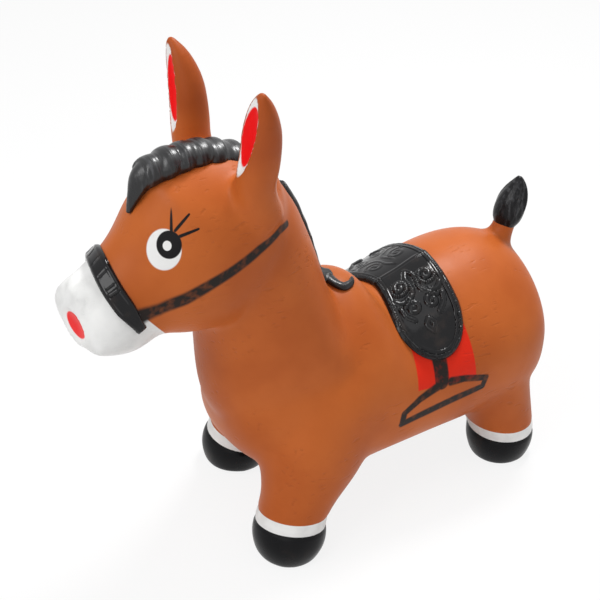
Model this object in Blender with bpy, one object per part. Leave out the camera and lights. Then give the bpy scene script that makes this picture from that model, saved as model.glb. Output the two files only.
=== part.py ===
"""Inflatable hopper horse: a hollow moulded skin divided into its zones, with a push-in air plug.

Metres, +Z up. The nose points towards -Y and the horse's left side towards +X.
The origin is on the floor, below the middle of the bounding box.
"""
import math

import bmesh
import bpy
from mathutils import Matrix, Vector

# Directions
UP = Vector((0, 0, 1))
FRONT = Vector((0, -1, 0))

# Driving dimensions
WALL = 0.0020
GAP = 0.0004
RING_SEGMENTS = 32
STATION_STEPS = 4
VOXEL = 0.005
SMOOTH_ROUNDS = 16
SKIN_TRIANGLES = 2700
BELLY_SQUARENESS = 2.7
BACK_SQUARENESS = 1.75
JAW_SQUARENESS = 2.4
NOSE_SQUARENESS = 1.85

# Mid-line forms, one row a station: y, z, half width, half height on the upper or front side
# and half height on the lower or rear side
TORSO = [
    (-0.122, 0.206, 0.034, 0.040, 0.040),
    (-0.110, 0.198, 0.057, 0.074, 0.066),
    (-0.082, 0.181, 0.083, 0.098, 0.088),
    (-0.029, 0.157, 0.108, 0.111, 0.095),
    (0.016, 0.154, 0.109, 0.112, 0.093),
    (0.061, 0.150, 0.110, 0.0950, 0.090),
    (0.146, 0.154, 0.115, 0.103, 0.092),
    (0.208, 0.158, 0.116, 0.106, 0.090),
    (0.248, 0.160, 0.105, 0.097, 0.083),
    (0.272, 0.160, 0.078, 0.073, 0.066),
    (0.283, 0.160, 0.042, 0.040, 0.038),
]
NECK = [
    (-0.010, 0.185, 0.094, 0.090, 0.092),
    (-0.052, 0.242, 0.083, 0.097, 0.059),
    (-0.086, 0.315, 0.071, 0.081, 0.069),
    (-0.103, 0.375, 0.064, 0.070, 0.064),
    (-0.109, 0.410, 0.053, 0.055, 0.053),
]
HEAD = [
    (-0.064, 0.398, 0.030, 0.030, 0.030),
    (-0.084, 0.398, 0.060, 0.060, 0.052),
    (-0.119, 0.387, 0.072, 0.086, 0.074),
    (-0.156, 0.366, 0.071, 0.100, 0.089),
    (-0.192, 0.3528, 0.0633, 0.0815, 0.0734),
    (-0.226, 0.3420, 0.0512, 0.0547, 0.0527),
    (-0.254, 0.3294, 0.0545, 0.0448, 0.0446),
    (-0.275, 0.3248, 0.0535, 0.0401, 0.0321),
    (-0.2900, 0.3237, 0.0491, 0.0345, 0.0240),
]
TAIL = [
    (0.240, 0.208, 0.0200, 0.0200, 0.0200),
    (0.257, 0.238, 0.0170, 0.0170, 0.0170),
    (0.268, 0.262, 0.0140, 0.0140, 0.0140),
    (0.275, 0.280, 0.0180, 0.0180, 0.0180),
    (0.279, 0.294, 0.0200, 0.0200, 0.0200),
    (0.284, 0.309, 0.0150, 0.0150, 0.0150),
    (0.287, 0.323, 0.0060, 0.0060, 0.0060),
]

# Left-hand forms, one row a station: x, y, z, half width, half depth
FRONT_LEG = [
    (0.052, -0.036, 0.145, 0.057, 0.066),
    (0.066, -0.060, 0.100, 0.050, 0.060),
    (0.078, -0.081, 0.065, 0.041, 0.044),
    (0.082, -0.093, 0.045, 0.0395, 0.0405),
    (0.085, -0.097, 0.022, 0.0430, 0.0430),
    (0.085, -0.097, -0.004, 0.036, 0.036),
]
REAR_LEG = [
    (0.050, 0.189, 0.145, 0.055, 0.066),
    (0.063, 0.204, 0.100, 0.050, 0.053),
    (0.074, 0.213, 0.065, 0.042, 0.042),
    (0.078, 0.216, 0.045, 0.0395, 0.0395),
    (0.081, 0.217, 0.022, 0.0430, 0.0430),
    (0.081, 0.217, -0.004, 0.036, 0.036),
]
EAR = [
    (0.0520, -0.1060, 0.405, 0.0240, 0.0240),
    (0.0593, -0.1150, 0.445, 0.0200, 0.0190),
    (0.0651, -0.1125, 0.473, 0.0200, 0.0180),
    (0.0710, -0.1135, 0.506, 0.0205, 0.0175),
    (0.0775, -0.1180, 0.531, 0.0165, 0.0135),
    (0.0830, -0.1220, 0.547, 0.0095, 0.0080),
    (0.0855, -0.1230, 0.556, 0.0040, 0.0035),
]

# Hair reliefs, one row a station: y, z, half width, half thickness
FORELOCK = [
    (-0.2220, 0.4255, 0.005, 0.006),
    (-0.2145, 0.4430, 0.010, 0.010),
    (-0.2040, 0.4585, 0.015, 0.015),
    (-0.1830, 0.464, 0.018, 0.016),
    (-0.1500, 0.466, 0.019, 0.014),
    (-0.1220, 0.462, 0.020, 0.0125),
    (-0.0980, 0.4515, 0.019, 0.011),
    (-0.0760, 0.436, 0.014, 0.009),
]
CREST = [
    (-0.047, 0.408, 0.010, 0.006),
    (-0.034, 0.370, 0.012, 0.006),
    (-0.020, 0.330, 0.013, 0.006),
    (-0.006, 0.296, 0.015, 0.006),
    (0.008, 0.274, 0.019, 0.006),
    (0.018, 0.267, 0.021, 0.006),
    (0.028, 0.262, 0.015, 0.005),
    (0.034, 0.259, 0.007, 0.004),
]

# The right front leg stands a little further back than the left one
RIGHT_FRONT_SETBACK = 0.035
SETBACK_TOP = 0.150
SETBACK_FULL = 0.050

# Where the skin changes zone on each leg
HOOF_TOP = 0.036
BAND_TOP = 0.048
SHANK_TOP = 0.061
SHANK_TILT = math.radians(8)
LEG_CUT_INNER_X = 0.014
LEG_CUT_OUTER_X = 0.145
LEG_CUT_DEPTH = 0.160

# Ear roots and the scooped front of each ear
EAR_ROOT_LOW = Vector((0.0616, -0.1141, 0.457))
EAR_ROOT_HIGH = Vector((0.0650, -0.1128, 0.4715))
EAR_AXIS = Vector((0.21, 0.0, 0.978))
EAR_CUT_SIZE = 0.058
EAR_MIDDLE = Vector((0.0712, -0.1137, 0.507))
EAR_SCOOP_REACH = 0.0198
EAR_SCOOP_RADII = Vector((0.0125, 0.0085, 0.040))
EAR_SCOOP_LEAN = math.radians(13)
LEFT_EAR_TURN = math.radians(-2)
RIGHT_EAR_TURN = math.radians(0)

# Tail root
TAIL_ROOT_LOW = Vector((0.0, 0.2670, 0.2590))
TAIL_ROOT_HIGH = Vector((0.0, 0.2725, 0.2720))
TAIL_AXIS = Vector((0.0, 0.40, 0.917))
TAIL_CUT_SIZE = 0.050

# Neck, head and muzzle joins
NECK_CUT = Vector((0.0, -0.075, 0.272))
NECK_AXIS = Vector((0.0, -0.06, 0.998))
HEAD_CUT = Vector((0.0, -0.112, 0.352))
HEAD_AXIS = Vector((0.0, -0.81, 0.586))
MUZZLE_CUT = Vector((0.0, -0.2425, 0.338))
MUZZLE_AXIS = Vector((0.0, -0.94, -0.34))
NECK_CUT_SIZE = 0.26
HEAD_CUT_SIZE = 0.24
MUZZLE_CUT_SIZE = 0.16

# Raised reliefs on the skin
NOSEBAND_CENTRE = Vector((0.0, -0.2466, 0.3365))
NOSEBAND_WIDTH = 0.0165
NOSEBAND_RISE = 0.0030
NOSEBAND_END = 0.011
SADDLE_RISE = 0.0045
SADDLE_HALF_WIDTH = 0.135
SADDLE_TOP_Z = 0.300
SADDLE_STEPS = 3
# The saddle flap in side view, y and z, from the top of its front edge round to its rear edge
SADDLE_FLAP = [
    (0.0580, 0.262),
    (0.0540, 0.245),
    (0.0540, 0.226),
    (0.0640, 0.2085),
    (0.0800, 0.1975),
    (0.0970, 0.1920),
    (0.1140, 0.1975),
    (0.1280, 0.2115),
    (0.1370, 0.228),
    (0.1430, 0.244),
    (0.1490, 0.262),
]

# Air valve under the belly
VALVE_Y = 0.128
VALVE_SEAT_LOW = 0.0585
VALVE_SEAT_HEIGHT = 0.0105
VALVE_SEAT_RADIUS = 0.0090
VALVE_BORE = 0.0046
VALVE_CLEARANCE = 0.0005
PLUG_SHANK = 0.0042
PLUG_HEAD = 0.0078
PLUG_HEAD_THICK = 0.0022
PLUG_LENGTH = 0.0125
TURNED_STEPS = 24

# Finishes: colour and roughness
SKIN_BROWN = ((0.46, 0.13, 0.030), 0.45)
PAINT_WHITE = ((0.82, 0.82, 0.80), 0.40)
PAINT_BLACK = ((0.012, 0.012, 0.013), 0.28)
PLUG_CLEAR = ((0.62, 0.62, 0.60), 0.35)


def clear_scene():
    for piece in list(bpy.data.objects):
        bpy.data.objects.remove(piece)


def finish(piece, look):
    """Give a piece its own material."""
    colour, roughness = look
    material = bpy.data.materials.new(piece.name + "_finish")
    material.use_nodes = True
    shader = material.node_tree.nodes["Principled BSDF"]
    shader.inputs["Base Color"].default_value = (*colour, 1.0)
    shader.inputs["Roughness"].default_value = roughness
    shader.inputs["Metallic"].default_value = 0.0
    piece.data.materials.clear()
    piece.data.materials.append(material)


def add_object(name, mesh):
    piece = bpy.data.objects.new(name, mesh)
    bpy.context.collection.objects.link(piece)
    return piece


def mesh_from(bm, name):
    mesh = bpy.data.meshes.new(name)
    bm.to_mesh(mesh)
    bm.free()
    return mesh


def baked(piece):
    """The piece's mesh with its modifiers worked in."""
    graph = bpy.context.evaluated_depsgraph_get()
    return bpy.data.meshes.new_from_object(piece.evaluated_get(graph))


def discard(*pieces):
    for piece in pieces:
        bpy.data.objects.remove(piece)


def combined(piece, cutter, operation):
    """Cut a piece with, or keep what it shares with, another solid."""
    step = piece.modifiers.new("cut", "BOOLEAN")
    step.operation = operation
    step.object = cutter
    mesh = baked(piece)
    name = piece.name
    discard(piece)
    return add_object(name, mesh)


def smooth_stations(rows, steps=STATION_STEPS):
    """Rows along a curve that passes through every station."""
    points = [Vector(row) for row in rows]
    ends = [2 * points[0] - points[1], *points, 2 * points[-1] - points[-2]]
    path = []
    for before, start, end, after in zip(ends, ends[1:], ends[2:], ends[3:]):
        for step in range(steps):
            t = step / steps
            path.append(0.5 * (
                2 * start
                + (end - before) * t
                + (2 * before - 5 * start + 4 * end - after) * t ** 2
                + (3 * start - before - 3 * end + after) * t ** 3
            ))
    path.append(points[-1])
    return path


def flattened(angle, below, above):
    """One point of a unit ring, with its own squareness below and above its middle."""
    across, along = math.cos(angle), math.sin(angle)
    power = 2 / (above if along >= 0 else below)
    return math.copysign(abs(across) ** power, across), math.copysign(abs(along) ** power, along)


def add_tube(bm, rows, top=UP, below=2.0, above=2.0):
    """Loft rings of the given half sizes square to the path through their centres.

    A row holds x, y, z, half width, half depth towards the top side and half depth away from it.
    """
    path = smooth_stations(rows)
    rings = []
    for index, row in enumerate(path):
        before = path[max(index - 1, 0)]
        after = path[min(index + 1, len(path) - 1)]
        along = Vector(after[:3]) - Vector(before[:3])
        along.normalize()
        up = (top - along * top.dot(along)).normalized()
        side = up.cross(along)
        centre = Vector(row[:3])
        ring = bmesh.ops.create_circle(bm, segments=RING_SEGMENTS, radius=1.0)["verts"]
        for vertex in ring:
            across, height = flattened(math.atan2(vertex.co.y, vertex.co.x), below, above)
            half_height = row[4] if height >= 0 else row[5]
            vertex.co = centre + side * (across * row[3]) + up * (height * half_height)
        rings.append(ring)
    for first, second in zip(rings, rings[1:]):
        bmesh.ops.bridge_loops(bm, edges=ring_edges(first) + ring_edges(second))
    for ring in (rings[0], rings[-1]):
        bmesh.ops.contextual_create(bm, geom=ring)


def ring_edges(ring):
    members = set(ring)
    edges = {edge for vertex in ring for edge in vertex.link_edges}
    return [edge for edge in edges if members.issuperset(edge.verts)]


def mid_rows(rows):
    return [(0.0, *row) for row in rows]


def side_rows(rows, side, setback=0.0):
    """A left-hand form, or its mirror, with an even depth and a setback that grows downwards."""
    out = []
    for x, y, z, half_width, half_depth in rows:
        share = (SETBACK_TOP - z) / (SETBACK_TOP - SETBACK_FULL)
        back = setback * min(max(share, 0.0), 1.0)
        out.append((side * x, y + back, z, half_width, half_depth, half_depth))
    return out


def leg_rows():
    """Each leg's name with its stations."""
    return {
        "front_left": side_rows(FRONT_LEG, 1),
        "front_right": side_rows(FRONT_LEG, -1, RIGHT_FRONT_SETBACK),
        "rear_left": side_rows(REAR_LEG, 1),
        "rear_right": side_rows(REAR_LEG, -1),
    }


def rounded_body():
    """All forms joined into one smooth closed surface."""
    bm = bmesh.new()
    add_tube(bm, mid_rows(TORSO), UP, BELLY_SQUARENESS, BACK_SQUARENESS)
    add_tube(bm, mid_rows(HEAD), UP, JAW_SQUARENESS, NOSE_SQUARENESS)
    for rows in (NECK, TAIL):
        add_tube(bm, mid_rows(rows), FRONT)
    for rows in leg_rows().values():
        add_tube(bm, rows, FRONT)
    for side in (1, -1):
        add_tube(bm, side_rows(EAR, side), FRONT)
    bmesh.ops.recalc_face_normals(bm, faces=bm.faces)
    body = add_object("body", mesh_from(bm, "body"))
    remesh = body.modifiers.new("join", "REMESH")
    remesh.mode = "VOXEL"
    remesh.voxel_size = VOXEL
    smooth = body.modifiers.new("round", "SMOOTH")
    smooth.factor = 0.5
    smooth.iterations = SMOOTH_ROUNDS
    mesh = baked(body)
    discard(body)
    return add_object("body", mesh)


def ear_scoops():
    """The two hollows in the fronts of the ears."""
    bm = bmesh.new()
    for side, angle in ((1, LEFT_EAR_TURN), (-1, RIGHT_EAR_TURN)):
        facing = Vector((math.sin(angle), -math.cos(angle), 0.0))
        centre = EAR_MIDDLE * Vector((side, 1, 1)) + facing * EAR_SCOOP_REACH
        lean = Matrix.Rotation(side * EAR_SCOOP_LEAN, 4, "Y")
        turn = Matrix.Rotation(angle, 4, "Z")
        size = Matrix.Diagonal((*EAR_SCOOP_RADII, 1.0))
        place = Matrix.Translation(centre) @ turn @ lean @ size
        bmesh.ops.create_uvsphere(bm, u_segments=16, v_segments=10, radius=1.0, matrix=place)
    return add_object("scoops", mesh_from(bm, "scoops"))


def outer_skin():
    """The skin's outside, thinned to few faces and flat under the hooves."""
    body = rounded_body()
    scoops = ear_scoops()
    body = combined(body, scoops, "DIFFERENCE")
    discard(scoops)
    thin = body.modifiers.new("thin", "DECIMATE")
    body.data.calc_loop_triangles()
    thin.ratio = SKIN_TRIANGLES / len(body.data.loop_triangles)
    mesh = baked(body)
    discard(body)
    bm = bmesh.new()
    bm.from_mesh(mesh)
    geometry = bm.verts[:] + bm.edges[:] + bm.faces[:]
    bmesh.ops.bisect_plane(bm, geom=geometry, plane_co=(0, 0, 0), plane_no=(0, 0, -1), clear_outer=True)
    rims = [edge for edge in bm.edges if edge.is_boundary]
    bmesh.ops.holes_fill(bm, edges=rims, sides=0)
    bmesh.ops.recalc_face_normals(bm, faces=bm.faces)
    bmesh.ops.triangulate(bm, faces=bm.faces)
    return add_object("outer_skin", mesh_from(bm, "outer_skin"))


def offset_copy(piece, distance, name):
    """The same closed surface moved outwards by a distance."""
    copy = add_object(name, piece.data.copy())
    push = copy.modifiers.new("push", "DISPLACE")
    push.mid_level = 0.0
    push.strength = distance
    mesh = baked(copy)
    discard(copy)
    return add_object(name, mesh)


def add_slab(bm, centre, normal, width, depth, thickness):
    """A thin plate square to a direction, its width across X."""
    up = Vector(normal).normalized()
    side = Vector((1, 0, 0))
    side = (side - up * side.dot(up)).normalized()
    turn = Matrix((side, up.cross(side), up)).transposed().to_4x4()
    size = Matrix.Diagonal((width, depth, thickness, 1.0))
    bmesh.ops.create_cube(bm, size=1.0, matrix=Matrix.Translation(centre) @ turn @ size)


def leg_axis_at(rows, height):
    """The leg's centre at a height."""
    for low, high in zip(rows[1:], rows):
        if low[2] <= height <= high[2]:
            share = (height - low[2]) / (high[2] - low[2])
            return Vector(low[:3]).lerp(Vector(high[:3]), share)
    return Vector(rows[-1][:3])


def add_leg_slabs(bm, rows):
    """The three cuts of one leg: above the hoof, above the band and above the shank."""
    side = math.copysign(1.0, rows[0][0])
    middle_x = side * (LEG_CUT_INNER_X + LEG_CUT_OUTER_X) / 2
    width = LEG_CUT_OUTER_X - LEG_CUT_INNER_X
    for height in (HOOF_TOP, BAND_TOP):
        axis = leg_axis_at(rows, height)
        centre = Vector((middle_x, axis.y, height))
        add_slab(bm, centre, (0, 0, 1), width, LEG_CUT_DEPTH, GAP)
    axis = leg_axis_at(rows, SHANK_TOP)
    rise = (abs(middle_x) - abs(axis.x)) * math.tan(SHANK_TILT)
    centre = Vector((middle_x, axis.y, SHANK_TOP + rise))
    normal = (-side * math.sin(SHANK_TILT), 0, math.cos(SHANK_TILT))
    add_slab(bm, centre, normal, width, LEG_CUT_DEPTH, GAP)


def zone_cuts():
    """Thin plates where the skin divides into zones, and the valve's hole."""
    bm = bmesh.new()
    for rows in leg_rows().values():
        add_leg_slabs(bm, rows)
    for side in (1, -1):
        mirror = Vector((side, 1, 1))
        for root in (EAR_ROOT_LOW, EAR_ROOT_HIGH):
            add_slab(bm, root * mirror, EAR_AXIS * mirror, EAR_CUT_SIZE, EAR_CUT_SIZE, GAP)
    for root in (TAIL_ROOT_LOW, TAIL_ROOT_HIGH):
        add_slab(bm, root, TAIL_AXIS, TAIL_CUT_SIZE, TAIL_CUT_SIZE, GAP)
    add_slab(bm, NECK_CUT, NECK_AXIS, NECK_CUT_SIZE, NECK_CUT_SIZE, GAP)
    add_slab(bm, HEAD_CUT, HEAD_AXIS, HEAD_CUT_SIZE, HEAD_CUT_SIZE, GAP)
    add_slab(bm, MUZZLE_CUT, MUZZLE_AXIS, MUZZLE_CUT_SIZE, MUZZLE_CUT_SIZE, GAP)
    hole = Matrix.Translation((0, VALVE_Y, VALVE_SEAT_LOW))
    radius = VALVE_SEAT_RADIUS + VALVE_CLEARANCE
    bmesh.ops.create_cone(bm, cap_ends=True, segments=TURNED_STEPS, radius1=radius, radius2=radius,
                          depth=4 * VALVE_SEAT_HEIGHT, matrix=hole)
    return add_object("zone_cuts", mesh_from(bm, "zone_cuts"))


def hollow_skin(outer):
    """The outer surface with its wall thickness."""
    shell = add_object("shell", outer.data.copy())
    wall = shell.modifiers.new("wall", "SOLIDIFY")
    wall.thickness = WALL
    wall.offset = -1.0
    mesh = baked(shell)
    discard(shell)
    return add_object("shell", mesh)


def loose_bodies(mesh):
    """Each unconnected body of a mesh as a mesh of its own."""
    whole = bmesh.new()
    whole.from_mesh(mesh)
    unseen = set(whole.verts)
    bodies = []
    while unseen:
        front = [unseen.pop()]
        body = set(front)
        while front:
            vertex = front.pop()
            for edge in vertex.link_edges:
                other = edge.other_vert(vertex)
                if other in unseen:
                    unseen.remove(other)
                    body.add(other)
                    front.append(other)
        bodies.append({vertex.index for vertex in body})
    whole.free()
    meshes = []
    for keep in bodies:
        part = bmesh.new()
        part.from_mesh(mesh)
        part.verts.ensure_lookup_table()
        rest = [vertex for vertex in part.verts if vertex.index not in keep]
        bmesh.ops.delete(part, geom=rest, context="VERTS")
        meshes.append(mesh_from(part, "zone"))
    return meshes


def middle_of(mesh):
    low = Vector([min(vertex.co[axis] for vertex in mesh.vertices) for axis in range(3)])
    high = Vector([max(vertex.co[axis] for vertex in mesh.vertices) for axis in range(3)])
    return (low + high) / 2


def zone_places():
    """Each zone's name with a point near its middle and its finish."""
    places = {
        "torso_skin": (Vector((0, 0.075, 0.165)), SKIN_BROWN),
        "neck_skin": (Vector((0, -0.055, 0.335)), SKIN_BROWN),
        "head_skin": (Vector((0, -0.155, 0.375)), SKIN_BROWN),
        "muzzle_skin": (Vector((0, -0.265, 0.325)), PAINT_WHITE),
        "tail_root": ((TAIL_ROOT_LOW + TAIL_ROOT_HIGH) / 2, SKIN_BROWN),
        "tail_tuft": (Vector((0, 0.281, 0.300)), PAINT_BLACK),
    }
    for side, word in ((1, "left"), (-1, "right")):
        mirror = Vector((side, 1, 1))
        places["ear_root_" + word] = ((EAR_ROOT_LOW + EAR_ROOT_HIGH) / 2 * mirror, SKIN_BROWN)
        places["ear_" + word] = (Vector((0.073, -0.117, 0.510)) * mirror, SKIN_BROWN)
    for leg, rows in leg_rows().items():
        places["leg_shank_" + leg] = (leg_axis_at(rows, (BAND_TOP + SHANK_TOP) / 2), SKIN_BROWN)
        places["hoof_band_" + leg] = (leg_axis_at(rows, (HOOF_TOP + BAND_TOP) / 2), PAINT_WHITE)
        places["hoof_" + leg] = (leg_axis_at(rows, HOOF_TOP / 2), PAINT_BLACK)
    return places


def skin_zones(outer):
    """Divide the hollow skin into named zones."""
    shell = hollow_skin(outer)
    cuts = zone_cuts()
    shell = combined(shell, cuts, "DIFFERENCE")
    meshes = loose_bodies(shell.data)
    discard(shell, cuts)
    places = zone_places()
    zones = {}
    for mesh in meshes:
        middle = middle_of(mesh)
        name = min(places, key=lambda key: (places[key][0] - middle).length)
        zones[name] = add_object(name, mesh)
        finish(zones[name], places[name][1])
    return zones


def prism(name, outline, half_width):
    """A side-view outline, rows of y and z, carried across the horse."""
    bm = bmesh.new()
    corners = [bm.verts.new((-half_width, y, z)) for y, z in outline]
    face = bm.faces.new(corners)
    grown = bmesh.ops.extrude_face_region(bm, geom=[face])["geom"]
    moved = [item for item in grown if isinstance(item, bmesh.types.BMVert)]
    bmesh.ops.translate(bm, verts=moved, vec=(2 * half_width, 0, 0))
    bmesh.ops.recalc_face_normals(bm, faces=bm.faces)
    return add_object(name, mesh_from(bm, name))


def relief(block, outer, rise, look):
    """What a block holds between the skin and a surface that rises over it."""
    name = block.name
    cover = offset_copy(outer, GAP + rise, "cover")
    bed = offset_copy(outer, GAP, "bed")
    block = combined(block, cover, "INTERSECT")
    block = combined(block, bed, "DIFFERENCE")
    block.name = name
    discard(cover, bed)
    finish(block, look)
    return block


def saddle_outline():
    """The saddle's side view: a flap with a rounded lower end, carried up past the back."""
    flap = [tuple(row) for row in smooth_stations(SADDLE_FLAP, SADDLE_STEPS)]
    return [(flap[-1][0], SADDLE_TOP_Z), (flap[0][0], SADDLE_TOP_Z), *flap]


def noseband_block():
    """A slab across the nose that stops short of the chin."""
    lift = Vector((0.0, MUZZLE_AXIS.z, -MUZZLE_AXIS.y)).normalized()
    centre = NOSEBAND_CENTRE + lift * (MUZZLE_CUT_SIZE / 2 - NOSEBAND_END)
    bm = bmesh.new()
    add_slab(bm, centre, MUZZLE_AXIS, MUZZLE_CUT_SIZE, MUZZLE_CUT_SIZE, NOSEBAND_WIDTH)
    return add_object("noseband", mesh_from(bm, "noseband"))


def on_skin(rows, outer):
    """The same stations with their centres on the skin."""
    out = []
    for y, z, half_width, thick in rows:
        place = outer.closest_point_on_mesh(Vector((0, y, z)))[1]
        out.append((place.y, place.z, half_width, thick))
    return out


def hair_relief(name, rows, outer):
    """A rounded roll of hair lying on the skin."""
    bm = bmesh.new()
    add_tube(bm, [(0.0, y, z, half_width, thick, thick) for y, z, half_width, thick in rows])
    bmesh.ops.recalc_face_normals(bm, faces=bm.faces)
    roll = add_object(name, mesh_from(bm, name))
    bed = offset_copy(outer, GAP, "bed")
    roll = combined(roll, bed, "DIFFERENCE")
    roll.name = name
    discard(bed)
    finish(roll, PAINT_BLACK)
    return roll


def turned(name, profile):
    """A solid turned about the valve's axis from rows of radius and height."""
    bm = bmesh.new()
    corners = [bm.verts.new((radius, VALVE_Y, height)) for radius, height in profile]
    closed = profile[0][0] > 0
    pairs = list(zip(corners, corners[1:]))
    if closed:
        pairs.append((corners[-1], corners[0]))
    edges = [bm.edges.new(pair) for pair in pairs]
    bmesh.ops.spin(bm, geom=corners + edges, cent=(0, VALVE_Y, 0), axis=(0, 0, 1),
                   angle=2 * math.pi, steps=TURNED_STEPS, use_merge=True)
    bmesh.ops.remove_doubles(bm, verts=bm.verts, dist=1e-6)
    bmesh.ops.recalc_face_normals(bm, faces=bm.faces)
    return add_object(name, mesh_from(bm, name))


def valve_seat():
    low = VALVE_SEAT_LOW
    high = low + VALVE_SEAT_HEIGHT
    seat = turned("valve_seat", [(VALVE_BORE, low), (VALVE_SEAT_RADIUS, low),
                                 (VALVE_SEAT_RADIUS, high), (VALVE_BORE, high)])
    finish(seat, SKIN_BROWN)
    return seat


def valve_plug():
    head_top = VALVE_SEAT_LOW - GAP
    head_low = head_top - PLUG_HEAD_THICK
    top = head_top + PLUG_LENGTH
    plug = turned("valve_plug", [(0, head_low), (PLUG_HEAD, head_low), (PLUG_HEAD, head_top),
                                 (PLUG_SHANK, head_top), (PLUG_SHANK, top), (0, top)])
    finish(plug, PLUG_CLEAR)
    return plug


def hang(pieces, name, place):
    """Parent pieces to an empty on their joint."""
    joint = bpy.data.objects.new(name, None)
    joint.location = place
    bpy.context.collection.objects.link(joint)
    for piece in pieces:
        piece.parent = joint
        piece.matrix_parent_inverse = Matrix.Translation(-Vector(place))


def hang_moving_zones(zones, plug):
    """Put each moving piece on its joint."""
    for leg, rows in leg_rows().items():
        hang([zones["hoof_" + leg]], "hop_" + leg, leg_axis_at(rows, HOOF_TOP))
    for side, word in ((1, "left"), (-1, "right")):
        middle = (EAR_ROOT_LOW + EAR_ROOT_HIGH) / 2 * Vector((side, 1, 1))
        hang([zones["ear_" + word]], "ear_flex_" + word, middle)
    hang([zones["tail_tuft"]], "tail_flex", (TAIL_ROOT_LOW + TAIL_ROOT_HIGH) / 2)
    hang([plug], "plug_pull", (0, VALVE_Y, VALVE_SEAT_LOW))


def shade(piece):
    piece.data.shade_smooth()
    piece.data.set_sharp_from_angle(angle=math.radians(40))


def build():
    clear_scene()
    outer = outer_skin()
    zones = skin_zones(outer)
    reliefs = [
        relief(prism("saddle_pad", saddle_outline(), SADDLE_HALF_WIDTH), outer, SADDLE_RISE, PAINT_BLACK),
        relief(noseband_block(), outer, NOSEBAND_RISE, PAINT_BLACK),
        hair_relief("forelock", FORELOCK, outer),
        hair_relief("crest_mane", on_skin(CREST, outer), outer),
    ]
    discard(outer)
    seat = valve_seat()
    plug = valve_plug()
    hang_moving_zones(zones, plug)
    for piece in [*zones.values(), *reliefs, seat, plug]:
        shade(piece)


build()
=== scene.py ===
import math

import bmesh
import bpy
from mathutils import Matrix, Vector
from mathutils.bvhtree import BVHTree
from mathutils.kdtree import KDTree


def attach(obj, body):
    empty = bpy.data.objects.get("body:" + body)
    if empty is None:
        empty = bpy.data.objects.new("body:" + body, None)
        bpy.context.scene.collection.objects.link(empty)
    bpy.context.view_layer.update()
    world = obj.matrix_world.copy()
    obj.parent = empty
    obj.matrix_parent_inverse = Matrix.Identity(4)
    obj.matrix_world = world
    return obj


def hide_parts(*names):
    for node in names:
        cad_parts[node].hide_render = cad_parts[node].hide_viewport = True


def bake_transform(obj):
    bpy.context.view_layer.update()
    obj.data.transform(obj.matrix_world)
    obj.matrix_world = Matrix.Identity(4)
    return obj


# A hopper horse blown up from soft vinyl: one moulded skin with raised hair, saddle and noseband,
# and sprayed paint. All sizes are in metres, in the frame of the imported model.

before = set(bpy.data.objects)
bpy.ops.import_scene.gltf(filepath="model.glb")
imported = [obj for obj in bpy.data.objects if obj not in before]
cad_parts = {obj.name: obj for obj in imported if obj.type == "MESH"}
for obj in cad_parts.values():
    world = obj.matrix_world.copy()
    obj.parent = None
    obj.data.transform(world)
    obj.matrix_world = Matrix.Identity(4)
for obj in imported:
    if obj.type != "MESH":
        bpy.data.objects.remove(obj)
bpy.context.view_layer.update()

UP = Vector((0, 0, 1))
FRONT = Vector((0, -1, 0))

# Stations of the skin: y, z, half width, half height above and below the middle
TORSO = [
    (-0.121, 0.200, 0.036, 0.048, 0.034),
    (-0.109, 0.194, 0.060, 0.080, 0.060),
    (-0.082, 0.181, 0.083, 0.098, 0.088),
    (-0.029, 0.157, 0.108, 0.111, 0.095),
    (0.016, 0.154, 0.109, 0.126, 0.096),
    (0.061, 0.150, 0.110, 0.0910, 0.090),
    (0.105, 0.152, 0.1125, 0.0940, 0.091),
    (0.146, 0.154, 0.115, 0.103, 0.092),
    (0.208, 0.158, 0.116, 0.106, 0.090),
    (0.248, 0.160, 0.105, 0.097, 0.083),
    (0.272, 0.160, 0.078, 0.073, 0.066),
    (0.283, 0.160, 0.042, 0.040, 0.038),
]
NECK = [
    (-0.010, 0.185, 0.094, 0.090, 0.092),
    (-0.034, 0.212, 0.088, 0.119, 0.074),
    (-0.052, 0.242, 0.083, 0.109, 0.059),
    (-0.086, 0.315, 0.071, 0.073, 0.069),
    (-0.103, 0.375, 0.064, 0.070, 0.064),
    (-0.109, 0.410, 0.053, 0.055, 0.053),
]
HEAD = [
    (-0.064, 0.398, 0.030, 0.030, 0.030),
    (-0.084, 0.398, 0.060, 0.060, 0.052),
    (-0.119, 0.387, 0.072, 0.086, 0.074),
    (-0.156, 0.366, 0.071, 0.100, 0.089),
    (-0.192, 0.3528, 0.0633, 0.0815, 0.0734),
    (-0.226, 0.3420, 0.0512, 0.0547, 0.0527),
    (-0.254, 0.3294, 0.0545, 0.0448, 0.0446),
    (-0.275, 0.3248, 0.0535, 0.0401, 0.0321),
    (-0.2900, 0.3237, 0.0491, 0.0345, 0.0240),
]
TAIL = [
    (0.240, 0.208, 0.020, 0.020, 0.020),
    (0.257, 0.238, 0.017, 0.017, 0.017),
    (0.268, 0.262, 0.014, 0.014, 0.014),
    (0.275, 0.280, 0.015, 0.015, 0.015),
    (0.279, 0.294, 0.013, 0.013, 0.013),
]
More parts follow.
